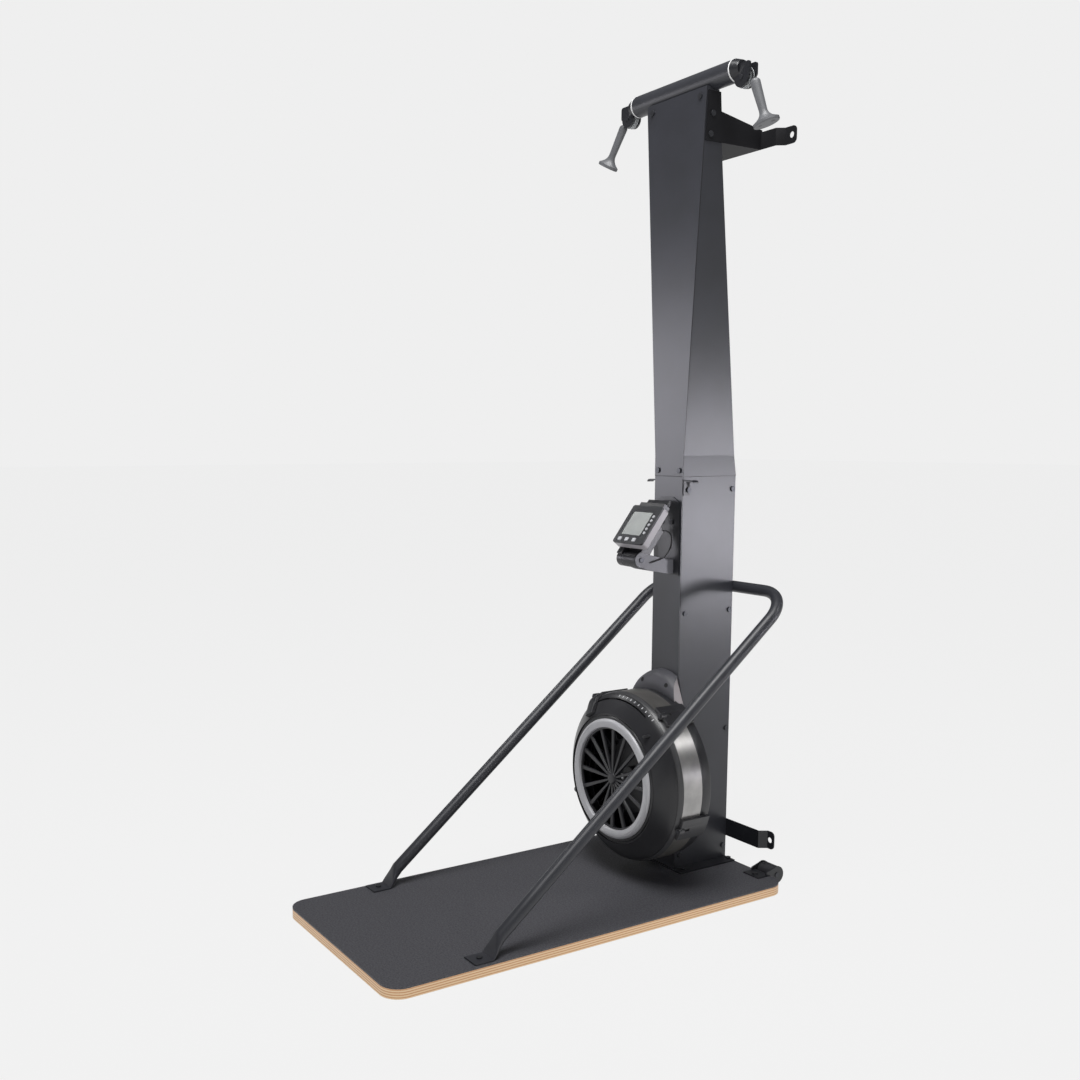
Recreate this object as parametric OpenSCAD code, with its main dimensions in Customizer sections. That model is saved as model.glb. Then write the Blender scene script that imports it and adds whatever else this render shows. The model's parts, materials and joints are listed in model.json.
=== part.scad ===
// Standing ski trainer: a platform, a two-part sheet metal column, an air
// resistance flywheel, a crossbar with two corded handles, a tilting monitor,
// a floor handrail, wall brackets and transport rollers.
// Millimetres, +Z up. X = 0 is the middle, the user stands on the -Y side and
// Z = 0 is the floor. The footprint is centred on the origin along Y.

/* [Platform] */
// Length of platform board along the machine
platform_l = 1220; // [1160:5:1300]
// Width of platform board
platform_w = 590; // [560:5:660]
// Radius of platform's corners in plan
platform_corner_r = 50; // [20:1:80]
// Thickness of plywood board
board_t = 24; // [16:1:30]
// Thickness of rubber mat
mat_t = 4; // [2:0.5:8]
// How far the transport rollers reach behind the board
roller_reach = 50; // [48:1:70]

/* [Column] */
// Width of lower column
column_w = 114; // [110:1:130]
// Depth of lower column from its front panel to its rear sheet
column_d = 194.8; // [190:0.2:210]
// From the column's rear sheet to the board's rear edge
column_inset = 3; // [2:1:10]
// Height of lower column
lower_column_h = 1102.5; // [1060:0.5:1160]
// Height of upper column
upper_column_h = 993.5; // [960:0.5:1040]
// Height of upper column's straight foot below the flare
upper_straight_h = 55.5; // [40:0.5:80]
// Extra half width of the upper column over the lower one
upper_overhang = 1; // [0.5:0.5:3]
// Width of upper column at its top
upper_top_w = 236; // [220:1:250]
// Depth of upper column at its top
upper_top_d = 42.5; // [40:0.5:50]
// Thickness of column's side and rear sheets
sheet_t = 2.5; // [2:0.1:3]
// Thickness of front panels
panel_t = 2.5; // [2:0.1:3]
// Radius of hole for the axle in the lower front panel
panel_axle_r = 30; // [26:1:34]

/* [Column foot] */
// Width of flange that bolts the column to the platform
foot_w = 190; // [170:1:220]
// Thickness of that flange
foot_t = 4; // [3:0.5:6]
// Height of two upright tabs inside the column
foot_tab_h = 60; // [54:1:80]

/* [Crossbar] */
// Length of crossbar tube
crossbar_l = 380; // [370:2:390]
// Outer diameter of the crossbar tube
crossbar_d = 56; // [54:1:58]
// Wall of the crossbar tube
crossbar_wall = 2.5; // [2:0.5:3]
// From the column's front to the crossbar's axis
crossbar_setback = 30.3; // [30:0.1:33]
// Height of crossbar's axis over the column's top
crossbar_lift = 21.5; // [20:0.5:24]
// Outer diameter of the white rings at the tube's ends
ring_d = 57; // [57:0.5:60]
// Thickness of those rings
ring_t = 4; // [3:0.5:5]
// Length of cone caps outside the rings
cap_l = 22; // [18:1:24]
// Radius of cone cap at its small end
cap_tip_r = 20; // [16:1:22]
// Thickness of pulley cheek
cheek_t = 5; // [4:0.5:6]
// Radius of round part of a pulley cheek
cheek_r = 24.5; // [22:0.5:25]
// Reach of a cheek's tip outside the pulley's axis
cheek_reach = 28.5; // [27:0.5:31]
// Height of cheek's tip over the pulley's axis
cheek_rise = 33.5; // [30:0.5:36]
// Corner radius of a cheek's tip
cheek_tip_r = 7; // [4:0.5:9]

/* [Pulleys and cords] */
// Diameter of drive cords
cord_d = 4; // [3:0.5:5]
// Middle to an end pulley's axis
end_pulley_x = 224; // [222:1:228]
// Groove radius of the end pulleys
end_groove_r = 22.7; // [22:0.1:23]
// Middle to a redirect pulley's axis
redirect_x = 30; // [28:1:34]
// Groove radius of the redirect pulleys
redirect_groove_r = 17.7; // [16:0.1:18]
// Height of pulley's flange over its groove
pulley_flange = 3; // [2.5:0.1:4]
// Width of pulley
pulley_w = 12; // [10:0.5:14]
// Width of pulley's groove at its rim
groove_w = 9; // [7:0.5:9.5]
// Diameter of pins of pulleys and monitor
pin_d = 8; // [6:0.5:9]
// Radial clearance of a bore that turns on its pin
running_gap = 0.05; // [0.02:0.01:0.1]
// Clearance between pieces of different bodies
gap = 0.3; // [0.2:0.05:0.5]
// Diameter of elastic return cords
bungee_d = 8; // [6:0.5:9]

/* [Handles] */
// Length of handle
handle_l = 120; // [110:1:136]
// Lean of the right handle's foot away from the middle
right_lean = 19; // [14:1:24]
// Lean of the left handle's foot away from the middle
left_lean = 27; // [20:1:30]
// Swing of the right handle's foot towards the wall
right_pitch = 4; // [-8:1:10]
// Swing of the left handle's foot towards the wall
left_pitch = -9; // [-10:1:8]
// Turn of the right handle about its own length
right_turn = 35; // [0:1:40]
// Turn of the left handle about its own length
left_turn = -19; // [-30:1:0]
// Width of handle's grip
grip_w = 26; // [24:0.5:30]
// Depth of handle's grip
grip_d = 18; // [16:0.5:20]
// Width of handle's oval foot
handle_foot_w = 66; // [56:1:76]
// Depth of handle's oval foot
handle_foot_d = 39; // [32:1:42]
// Radius of ferrule that takes the cord
ferrule_r = 3; // [2.6:0.1:3.2]
// Offset of a handle's top from its cord
handle_offset = 6.5; // [6:0.5:8]
// Drop from the end pulley's axis to a handle's top
handle_drop = 11; // [10.5:0.5:16]
// Length of bare cord between pulley and ferrule
lead_l = 8.5; // [8:0.5:12]

/* [Flywheel] */
// Height of fan's axis over the floor
fan_z = 308; // [300:1:330]
// Outer radius of the fan's casing
fan_r = 236; // [230:1:240]
// From the column's front to the casing's rear face
fan_standoff = 29.2; // [26:0.2:40]
// Depth of casing's rear rim
rear_rim_w = 34; // [28:1:40]
// Width of bright band
band_w = 64; // [56:1:72]
// From the band to the crest of the front shell's rim
crest_d = 31; // [26:1:34]
// From the crest in to the casing's outer radius
crest_in = 21; // [16:1:26]
// Depth of front shell's cone from its crest to its inner edge
cone_d = 25.5; // [20:0.5:30]
// How much smaller the rear rim's radius is
rear_rim_in = 3; // [1:0.5:5]
// Radius where the cone starts
shoulder_r = 180; // [176:1:186]
// Wall of the plastic shells
shell_t = 3; // [2.5:0.5:4]
// Thickness of bright band
band_t = 1.5; // [1:0.1:2]
// Outer radius of the trim ring
trim_r = 166; // [160:1:168]
// Inner radius of the trim ring
trim_bore_r = 142.3; // [136:0.1:146]
// Depth of trim ring
trim_t = 9.4; // [8:0.2:11]
// Number of spokes in the grill
spoke_n = 16; // [12:1:20]
// Width of spoke
spoke_w = 9; // [6:0.5:12]
// Depth of grill
grill_t = 6; // [4:0.5:8]
// Radius of grill's hub
grill_hub_r = 25; // [20:1:30]
// Upper edge angle of the bright band
band_top_a = 46; // [40:1:50]
// Lower edge angle of the bright band
band_bottom_a = -17; // [-20:1:-10]
// Number of blades on the flywheel
blade_n = 18; // [12:1:24]
// Clearance between the blades and the shell
blade_gap = 11; // [9:1:30]
// Radius of flywheel's disc
disc_r = 150; // [120:1:170]
// Radius of axle
axle_r = 8.5; // [7:0.5:10]
// Outer radius of an axle bearing
bearing_r = 17.5; // [16:0.5:19]
// Width of axle bearing
bearing_w = 10; // [8:1:12]
// Radius of drum's cord groove
drum_groove_r = 23.7; // [20:0.1:24]
// Radius of drum's elastic cord groove
bungee_groove_r = 19.7; // [18:0.1:21]
// Radius of drum's flanges
drum_flange_r = 29; // [27.5:0.5:32]
// Outer radius of a one-way clutch
clutch_r = 12; // [11:0.5:14]

/* [Damper] */
// Angle of the damper knob at rest
damper_a = 122; // [115:1:126]
// Swing of the damper knob
damper_swing = 60; // [45:1:62]
// Half angle that the knob covers
knob_half_a = 5; // [3:0.5:6]
// Height of knob over the front shell
knob_h = 11; // [8:1:12]

/* [Monitor] */
// Width of monitor's face
face_w = 125.8; // [118:0.2:130]
// Height of monitor's face
face_h = 123.7; // [118:0.1:130]
// Depth of monitor's case
case_d = 24; // [20:1:28]
// Tilt of the face at rest
face_tilt = 37.5; // [30:0.5:40]
// From the column's front to the face's middle
face_setback = 105.7; // [104:0.1:120]
// Drop from the column's seam to the monitor's face
face_drop = 128.7; // [115:0.1:145]
// Width of screen
screen_w = 80; // [70:1:82]
// Height of screen
screen_h = 75; // [64:1:78]
// Diameter of round button
round_d = 8.4; // [7:0.2:9.4]
// Width of square button
square_w = 13; // [10:0.5:15]
// Height of square button
square_h = 10.5; // [8:0.5:11]
// Width of housing behind the case
housing_w = 54; // [44:1:54]
// Radius of tilt barrel
barrel_r = 21; // [18:0.5:22]
// Thickness of monitor arm's two plates
arm_t = 3; // [2:0.5:4]

/* [Handrail] */
// Outer diameter of the handrail tube
rail_d = 32; // [28:1:36]
// Middle to a leg of the handrail
rail_x = 262; // [255:1:264]
// Height of handrail's rear bar
rail_bar_z = 821; // [780:1:860]
// From the platform's front edge to a foot plate's middle
rail_foot_in = 252; // [230:1:280]
// Side of square foot plate
rail_foot_w = 52; // [46:1:56]
// Bend radius of the handrail
rail_bend_r = 97; // [80:1:110]

/* [Wall brackets] */
// Drop from the column's top to the upper bracket's lower edge
upper_bracket_drop = 132; // [118:1:148]
// Height of upper bracket's ears
upper_ear_h = 44; // [40:1:48]
// Height of lower bracket's lower edge
lower_bracket_z = 94.5; // [90:0.5:110]
// Height of lower bracket's strip
lower_bracket_h = 50.2; // [46:0.2:56]
// Thickness of brackets
bracket_t = 3; // [2.5:0.5:4]
// Middle to a lower wall bolt hole
wall_hole_x = 209; // [206:1:212]
// Middle to an upper wall bolt hole
upper_hole_x = 204.5; // [202:0.5:209]
// Radius of wall bolt hole
wall_hole_r = 8; // [6:0.5:9]

/* [Transport rollers] */
// Radius of transport roller
roller_r = 24; // [22:0.5:24]
// Width of transport roller
roller_w = 50; // [44:1:54]
// Middle to a roller's inner face
roller_x = 181; // [176:1:186]

/* [Hidden] */
$fn = 72;
ear_step = 20;
case_wall = 2.5;
face_corner_r = 7;
rail_wall = 2.5;
rail_foot_t = 4;
button_out = 1.8;
panel_return = 26;
roller_lift = 1.5;
foot_lip = 8;

// Colours
powder_black = "#2b2d31";
plastic_black = "#1c1d20";
handle_grey = "#8b8d90";
steel_grey = "#b9bbbe";
ply_tan = "#c58b58";
rubber_black = "#222326";

// Levels and planes worked out from the driving sizes
platform_front = -(platform_l + roller_reach) / 2;
platform_rear = platform_front + platform_l;
platform_mid = (platform_front + platform_rear) / 2;
deck_z = board_t + mat_t;
foot_top = deck_z + foot_t;
column_rear = platform_rear - column_inset;
column_front = column_rear - column_d;
side_front = column_front + panel_t + gap;
column_hw = column_w / 2;
seam_z = foot_top + lower_column_h;
kink_z = seam_z + upper_straight_h;
column_top = seam_z + upper_column_h;
upper_hw = column_hw + upper_overhang;
top_hw = upper_top_w / 2;
top_rear = column_front + upper_top_d;
flare_a = atan((top_hw - upper_hw) / (column_top - kink_z));

// Bolts
bolt_r = 4;
bolt_head_r = 7.5;
bolt_head_h = 4;
bolt_gap = 0.25;
side_bolt_front_y = column_front + 20;
side_bolt_rear_y = column_rear - 11;
foot_bolt_z = deck_z + 39;
mid_bolt_z = foot_bolt_z + lower_column_h * 0.3156;
rail_bolt_z = mid_bolt_z + lower_column_h * 0.3111;
top_bolt_z = seam_z - 36.5;
foot_bolt_x = 75;
foot_bolt_ys = [column_front + 17.8, column_rear - 5];
panel_low_x = 44;
panel_low_z = seam_z + 15.5;
panel_high_x = 94.3;
panel_high_z = column_top - 21;
panel_tab_w = 24;
panel_tab_h = 20;
splice_down = 60;
splice_up = 40;

// Crossbar, pulleys and cords
cord_r = cord_d / 2;
crossbar_y = column_front + crossbar_setback;
crossbar_z = column_top + crossbar_lift;
crossbar_r = crossbar_d / 2;
crossbar_in_r = crossbar_r - crossbar_wall;
end_run_r = end_groove_r + cord_r + gap;
end_pulley_r = end_groove_r + pulley_flange;
end_pulley_z = crossbar_z - end_run_r;
redirect_run_r = redirect_groove_r + cord_r + gap;
redirect_r = redirect_groove_r + pulley_flange;
redirect_z = crossbar_z - redirect_run_r;
fork_half = pulley_w / 2 + gap + 3;
carrier_z = redirect_z - 47;
carrier_t = 4;
carrier_cheek_in = pulley_w / 2 + gap;
carrier_cheek_t = 3;
carrier_hw = upper_hw + (carrier_z - kink_z) * tan(flare_a) - sheet_t - gap - carrier_cheek_t / 2;
carrier_slot_hl = redirect_x + redirect_r + 6;
pin_head_t = 2;
carrier_slot_hw = carrier_cheek_in + carrier_cheek_t + pin_head_t + gap;
handle_cord_x = end_pulley_x + end_run_r;
handle_top_x = handle_cord_x + handle_offset;
handle_top_z = end_pulley_z - handle_drop;
ferrule_z = end_pulley_z - lead_l;

// Drums on the axle, and the routes of the cords inside the column
drum_run_r = drum_groove_r + cord_r + gap;
bungee_run_r = bungee_groove_r + bungee_d / 2 + gap;
drum_mid_y = column_front + 74;
right_cord_y = drum_mid_y - 21;
left_cord_y = drum_mid_y + 21;
right_bungee_y = drum_mid_y - 9;
left_bungee_y = drum_mid_y + 9;
bungee_knob_r = bungee_d / 2 + 2.5;
bungee_top_y = crossbar_y - carrier_cheek_in - carrier_cheek_t - bungee_knob_r - gap;
cord_hole_r = cord_r + 2;

// Fan planes from the column forwards
fan_rear_y = column_front - fan_standoff;
rear_rim_y = fan_rear_y - rear_rim_w;
band_front_y = rear_rim_y - band_w;
crest_y = band_front_y - crest_d;
crest_r = fan_r - crest_in;
shoulder_y = crest_y - cone_d;
cone_a = atan(cone_d / (crest_r - shoulder_r));
rear_rim_r = fan_r - rear_rim_in;
lip_r = trim_r + gap;
trim_y = shoulder_y - 6.9;
grill_y = trim_y + trim_t + gap;
bracket_y = column_front + panel_t + gap;
bracket_hw = column_hw - sheet_t - gap - panel_t - gap;
bracket_wall = 4;
bracket_end = column_rear - sheet_t - gap;
bracket_h = 100;
front_bearing_y = bracket_y + 6;
rear_bearing_y = drum_mid_y + 60;
standoff_xz = 36;
standoff_r = 9;
axle_front_y = shoulder_y + 40;
axle_rear_y = rear_bearing_y + bearing_w + 8;
blade_front_y = band_front_y + 4;
blade_rear_y = rear_rim_y - 2;
blade_t = 3;
disc_y = band_front_y + 28;
blade_r = fan_r - shell_t - blade_gap;
damper_in_r = trim_r - 10;
damper_out_r = crest_r + 8;
slot_r = crest_r + 3;
slot_hw = 2;
damper_ring_y = band_front_y - 13;
peg_r = (shoulder_r + crest_r) / 2 + 4.5;
peg_a = 47;
clamp_angles = [54, 126, -23, 203];
clamp_half_a = 7.5;
clamp_out_r = fan_r + 10;
clamp_boss_r = 8.5;
clamp_boss_at = fan_r + clamp_boss_r + gap + 0.2;
clamp_front_y = band_front_y - 10;

// Neck cover between the fan's rear rim and the column
neck_half_a = 22.4;
neck_rim_y = fan_rear_y - 11;
neck_top_z = fan_z + fan_r + 53;
neck_top_drop = 14;
neck_top_hw = 56;
neck_t = 3;
neck_bulge = 12;
wing_low_z = fan_z + fan_r - 41;
wing_back = 18;

// Monitor frame: x right, z up the face, y into the case
face_y = column_front - face_setback;
face_z = seam_z - face_drop;
pivot_up = -81;
pivot_in = 50.2;
pivot_y = face_y + pivot_in * cos(face_tilt) + pivot_up * sin(face_tilt);
pivot_z = face_z - pivot_in * sin(face_tilt) + pivot_up * cos(face_tilt);
screen_x = -5;
screen_up = 3;
round_x = 46.7;
round_ups = [27.9, 14.6, 1.3, -12.0, -25.3];
square_xs = [-38.4, -8.3, 21.8];
square_up = -49.5;
button_in = 5;
button_flange = 1.2;
button_flange_t = 1.2;
housing_top = 29.6;
housing_bottom = -52.8;
housing_in = 68;
clamp_x = 52;
arm_x = housing_w / 2 + gap;
arm_lug_r = 20;
arm_top_z = pivot_z - 4;
arm_bottom_z = pivot_z - 42;
yoke_y = column_front - 20;
plate_hw = 52;
plate_low_z = face_z - 140.8;
plate_high_z = face_z + 72.2;
plate_chamfer = 14;
plate_t = 3;
plate_bolt_x = 20;
plate_bolt_z = face_z + 4.2;
cradle_low_hw = 50;
cradle_high_hw = 45;
cradle_low_h = 15;
cradle_high_h = 34;
runner_hw = 30;
runner_t = 3;
cable_r = 2;
cable_x = arm_x + arm_t + cable_r + gap;
cable_points = [
  for (p = [[-37.2, -17.8], [-26.2, -20.8], [-17.2, -28.8], [-13.2, -40.8], [-16.2, -63.8],
      [-35.2, -87.8], [-61.2, -97.8], [-87.2, -102.8]])
    [cable_x, column_front + p[0], face_z + p[1]]];

// Handrail
rail_r = rail_d / 2;
rail_bar_y = column_rear + rail_r + gap;
rail_foot_y = platform_front + rail_foot_in;
rail_low_y = rail_foot_y + 38;
rail_low_z = deck_z + 29;
rail_a = atan((rail_bar_z - rail_low_z) / (rail_bar_y - rail_low_y));
rail_len = norm([rail_bar_z - rail_low_z, rail_bar_y - rail_low_y]);
rail_loft_l = 26;

// Wall brackets
upper_bracket_rear = column_rear + 5;
upper_bracket_z = column_top - upper_bracket_drop;
upper_plate_low_s = (upper_bracket_z - kink_z) / cos(flare_a);
upper_plate_top_z = crossbar_z - crossbar_r - 3;
upper_edge_front_z = upper_bracket_z + 76;
upper_edge_rear_z = upper_bracket_z + 49;
ear_in_x = 168;
ear_step_x = 14;
ear_lip = 16;
ear_corner_r = 12;
lower_rear = column_rear + bracket_t;
lower_step = upper_bracket_rear + ear_step - lower_rear;
lower_ear_in_x = 187;

// Transport rollers
fork_cheek_r = roller_r + 1;
fork_plate_t = 3;
fork_cheek_t = 4;
roller_y = platform_rear + roller_reach - fork_cheek_r;
roller_z = roller_r + roller_lift;
fork_plate_l = 47;

// Small helpers

// Children as they are, and mirrored to -X
module both_sides() {
  children();
  mirror([1, 0, 0])
    children();
}

// Rounded rectangle centred on the origin
module rounded_rect(w, h, r) {
  square([w - 2 * r, h], center = true);
  square([w, h - 2 * r], center = true);
  for (sx = [-1, 1])
    for (sy = [-1, 1])
      translate([sx * (w / 2 - r), sy * (h / 2 - r)])
        circle(r = r);
}

// Box between two corners
module box(low, high) {
  translate(low)
    cube(high - low);
}

// Profile in x and z, extruded from y0 to y1
module extrude_y(y0, y1) {
  translate([0, y1, 0])
    rotate([90, 0, 0])
      linear_extrude(height = y1 - y0)
        children();
}

// Profile in y and z, extruded from x0 to x1
module extrude_x(x0, x1) {
  translate([x0, 0, 0])
    rotate([90, 0, 90])
      linear_extrude(height = x1 - x0)
        children();
}

// Cylinder along Y
module rod_y(x, z, r, y0, y1) {
  translate([x, y1, z])
    rotate([90, 0, 0])
      cylinder(r = r, h = y1 - y0);
}

// Cylinder along X
module rod_x(y, z, r, x0, x1) {
  translate([x0, y, z])
    rotate([0, 90, 0])
      cylinder(r = r, h = x1 - x0);
}

// Straight round rod between two points
module rod(p, q, r) {
  d = q - p;
  translate(p)
    rotate([0, acos(d[2] / norm(d)), atan2(d[1], d[0])])
      cylinder(r = r, h = norm(d));
}

// Profile of radius and y, revolved about the fan's axis from angle a0 to a1
module fan_revolve(a0 = 0, a1 = 360) {
  translate([0, 0, fan_z])
    rotate([-90, 0, 0])
      rotate([0, 0, -a1])
        rotate_extrude(angle = a1 - a0)
          children();
}

// Rectangle of radius r0 to r1 and y0 to y1 for fan_revolve
module ring_section(r0, r1, y0, y1) {
  translate([r0, y0])
    square([r1 - r0, y1 - y0]);
}

// Local frame on the upper column's flared side: z runs up the sheet, x out
module on_flare() {
  translate([upper_hw, 0, kink_z])
    rotate([0, flare_a, 0])
      children();
}

// Local frame of the monitor's face
module on_monitor() {
  translate([0, face_y, face_z])
    rotate([-face_tilt, 0, 0])
      children();
}

// Outline in x and z of the upper column, drawn in by an inset
module upper_front_outline(inset) {
  polygon([
    [-upper_hw + inset, seam_z], [upper_hw - inset, seam_z],
    [upper_hw - inset, kink_z], [top_hw - inset, column_top],
    [-top_hw + inset, column_top], [-upper_hw + inset, kink_z]]);
}

// Outline in y and z of the upper column, its rear drawn in by an inset
module upper_side_outline(front, inset) {
  polygon([
    [front, seam_z], [column_rear - inset, seam_z],
    [top_rear - inset, column_top], [front, column_top]]);
}

// Faces of a tube with n points a ring
function ring_faces(rings, n) = [
  for (i = [0 : rings - 2])
    for (j = [0 : n - 1])
      let (a = i * n + j, b = i * n + (j + 1) % n)
        each [[a, b, b + n], [a, b + n, a + n]]];
function start_cap(n) = [[for (j = [n - 1 : -1 : 0]) j]];
function end_cap(rings, n) = [[for (j = [0 : n - 1]) (rings - 1) * n + j]];

// Round cord swept along points that stay in one plane with the given normal
function unit(v) = v / norm(v);
function tangent(p, i) =
  unit(p[min(i + 1, len(p) - 1)] - p[max(i - 1, 0)]);
function cord_ring(p, i, r, n, side) =
  let (t = tangent(p, i), u = unit(side - (side * t) * t), v = cross(t, u))
    [for (j = [0 : n - 1]) p[i] + r * (cos(360 * j / n) * u + sin(360 * j / n) * v)];
module cord(p, r, side) {
  n = 8;
  polyhedron(
    points = [for (i = [0 : len(p) - 1]) each cord_ring(p, i, r, n, side)],
    faces = concat(ring_faces(len(p), n), start_cap(n), end_cap(len(p), n)));
}

// Points on an arc in the x-z plane at a given y
function arc_points(c, r, a0, a1, steps) = [
  for (i = [0 : steps])
    let (a = a0 + (a1 - a0) * i / steps)
      [c[0] + r * cos(a), c[1], c[2] + r * sin(a)]];

// Bolt with its head on the near side of z = 0 and its shank towards -z
module bolt(shank) {
  cylinder(r = bolt_head_r, h = bolt_head_h);
  translate([0, 0, -shank])
    cylinder(r = bolt_r, h = shank);
}

// Platform

module platform_slab(z0, z1) {
  translate([0, platform_mid, z0])
    linear_extrude(height = z1 - z0)
      rounded_rect(platform_w, platform_l, platform_corner_r);
}

module platform_bores() {
  both_sides() {
    for (y = foot_bolt_ys)
      translate([foot_bolt_x, y, -1])
        cylinder(r = bolt_r + bolt_gap, h = foot_top + 2);
    translate([rail_x, rail_foot_y, -1])
      cylinder(r = bolt_r + bolt_gap, h = foot_top + 2);
    translate([roller_x + roller_w / 2, roller_screw_y(), -1])
      cylinder(r = bolt_r + bolt_gap, h = foot_top + 2);
  }
}

function roller_screw_y() = platform_rear - fork_plate_l + 16;

module platform_board() {
  color(ply_tan)
    difference() {
      platform_slab(0, board_t);
      platform_bores();
    }
}

module platform_mat() {
  color(rubber_black)
    difference() {
      platform_slab(board_t, deck_z);
      platform_bores();
    }
}

// Column

module column_side_bores() {
  for (z = [foot_bolt_z, rail_bolt_z, top_bolt_z])
    rod_x(side_bolt_front_y, z, bolt_r + bolt_gap, -column_w, column_w);
  for (z = [foot_bolt_z, mid_bolt_z, rail_bolt_z, top_bolt_z])
    rod_x(side_bolt_rear_y, z, bolt_r + bolt_gap, -column_w, column_w);
}

module column_foot() {
  tab_x = column_hw - sheet_t - gap - panel_t - gap - foot_t;
  color(powder_black)
    difference() {
      union() {
        box([-foot_w / 2, column_front - foot_lip, deck_z],
          [foot_w / 2, platform_rear - 1, foot_top]);
        both_sides()
          box([tab_x, side_front + 2, deck_z],
            [tab_x + foot_t, bracket_end, deck_z + foot_tab_h]);
      }
      platform_bores();
      column_side_bores();
    }
}

module lower_column() {
  color(powder_black)
    difference() {
      box([-column_hw, side_front, foot_top], [column_hw, column_rear, seam_z]);
      box([-column_hw + sheet_t, side_front - 1, foot_top - 1],
        [column_hw - sheet_t, column_rear - sheet_t, seam_z + 1]);
      column_side_bores();
      rear_bores();
    }
}

// Bolts through the rear sheet: four for the axle bracket, four for the lower bracket
rear_bolt_x = 32;
axle_bolt_dz = 36;
lower_bolt_dz = 12;
rear_bolt_zs = [
  fan_z - axle_bolt_dz, fan_z + axle_bolt_dz,
  lower_bracket_z + lower_bracket_h / 2 - lower_bolt_dz,
  lower_bracket_z + lower_bracket_h / 2 + lower_bolt_dz];
module rear_bores() {
  for (x = [-rear_bolt_x, rear_bolt_x])
    for (z = rear_bolt_zs)
      rod_y(x, z, bolt_r + bolt_gap, bracket_end - bracket_wall - 1, column_rear + 30);
}

module lower_front_cover() {
  return_x = column_hw - sheet_t - gap;
  color(powder_black)
    difference() {
      union() {
        box([-column_hw, column_front, foot_top],
          [column_hw, column_front + panel_t, seam_z]);
        both_sides()
          box([return_x - panel_t, column_front, foot_top + gap],
            [return_x, column_front + panel_return, seam_z - splice_down - gap]);
      }
      rod_y(0, fan_z, panel_axle_r, column_front - 1, column_front + panel_t + 1);
      column_side_bores();
      fan_mount_bores();
    }
}

// Four bolts that carry the fan's casing and clamp the panel to the axle bracket
module fan_mount_bores() {
  for (x = [-standoff_xz, standoff_xz])
    for (z = [-standoff_xz, standoff_xz])
      rod_y(x, fan_z + z, bolt_r + bolt_gap, fan_rear_y - 10, bracket_y + bracket_wall + 10);
}

module upper_body(front, inset) {
  intersection() {
    extrude_y(front, column_rear + 1)
      upper_front_outline(inset);
    extrude_x(-upper_top_w, upper_top_w)
      upper_side_outline(front, inset);
  }
}

module upper_column() {
  tab_y = side_front + panel_t;
  color(powder_black)
    difference() {
      union() {
        difference() {
          upper_body(side_front, 0);
          upper_body(side_front - 1, sheet_t);
          // Opens the seam end and the top end of the box
          box([-upper_hw + sheet_t, side_front - 1, seam_z - 1],
            [upper_hw - sheet_t, column_rear - sheet_t - 0.2, seam_z + 1]);
          box([-top_hw + sheet_t + 0.2, side_front - 1, column_top - 1],
            [top_hw - sheet_t - 0.2, top_rear - sheet_t, column_top + 1]);
        }
        both_sides() {
          box([panel_low_x - panel_tab_w / 2, side_front, panel_low_z - panel_tab_h / 2],
            [upper_hw - sheet_t + 0.5, tab_y, panel_low_z + panel_tab_h / 2]);
          box([panel_high_x - panel_tab_w / 2, side_front, panel_high_z - panel_tab_h / 2],
            [top_hw - sheet_t - 1, tab_y, panel_high_z + panel_tab_h / 2]);
          splice_tab();
        }
      }
      rod_x(crossbar_y, crossbar_z, crossbar_r + gap, -upper_top_w, upper_top_w);
      upper_panel_bores();
      column_side_bores();
      both_sides()
        upper_side_bores();
    }
}

// Inner strap that joins the upper column to the lower one
module splice_tab() {
  strap_x = column_hw - sheet_t - gap - panel_t;
  box([strap_x, side_front + panel_return + 4, seam_z - splice_down],
    [strap_x + panel_t, column_rear - sheet_t - gap, seam_z + splice_up]);
  box([strap_x, side_front + panel_return + 4, seam_z + 1],
    [upper_hw - sheet_t + 0.5, column_rear - sheet_t - 10, seam_z + splice_up]);
  box([strap_x, side_front + 8, seam_z - splice_down],
    [strap_x + panel_t, side_front + panel_return + 5, seam_z - gap]);
}

module upper_panel_bores() {
  both_sides() {
    rod_y(panel_low_x, panel_low_z, bolt_r + bolt_gap, column_front - 1, side_front + 20);
    rod_y(panel_high_x, panel_high_z, bolt_r + bolt_gap, column_front - 1, side_front + 20);
  }
}

module upper_front_cover() {
  return_low = seam_z + splice_up + 3;
  return_high = carrier_z - 8;
  color(powder_black)
    difference() {
      union() {
        extrude_y(column_front, column_front + panel_t)
          upper_front_outline(0);
        difference() {
          extrude_y(column_front + panel_t / 2, column_front + panel_return / 2)
            upper_front_outline(sheet_t + gap);
          extrude_y(column_front, column_front + panel_return)
            upper_front_outline(sheet_t + gap + panel_t);
          box([-top_hw, column_front + panel_t, seam_z - 1],
            [top_hw, column_front + panel_return, return_low]);
          box([-top_hw, column_front + panel_t, return_high],
            [top_hw, column_front + panel_return, column_top + 1]);
        }
      }
      upper_panel_bores();
    }
}

module accessory_hooks() {
  strip_t = 2.5;
  plate_low = top_bolt_z - 15;
  plate_high = top_bolt_z + 26;
  reach = 37;
  color(powder_black)
    both_sides()
      difference() {
        extrude_y(side_front, side_bolt_front_y + 5.5)
          translate([column_hw, 0])
            union() {
              translate([0, plate_low])
                square([strip_t, plate_high - plate_low]);
              translate([0, plate_high - strip_t])
                square([reach * 0.5, strip_t]);
              polygon(hook_wave(reach, plate_high, strip_t));
            }
        rod_x(side_bolt_front_y, top_bolt_z, bolt_r + bolt_gap, 0, column_w);
      }
}

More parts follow.
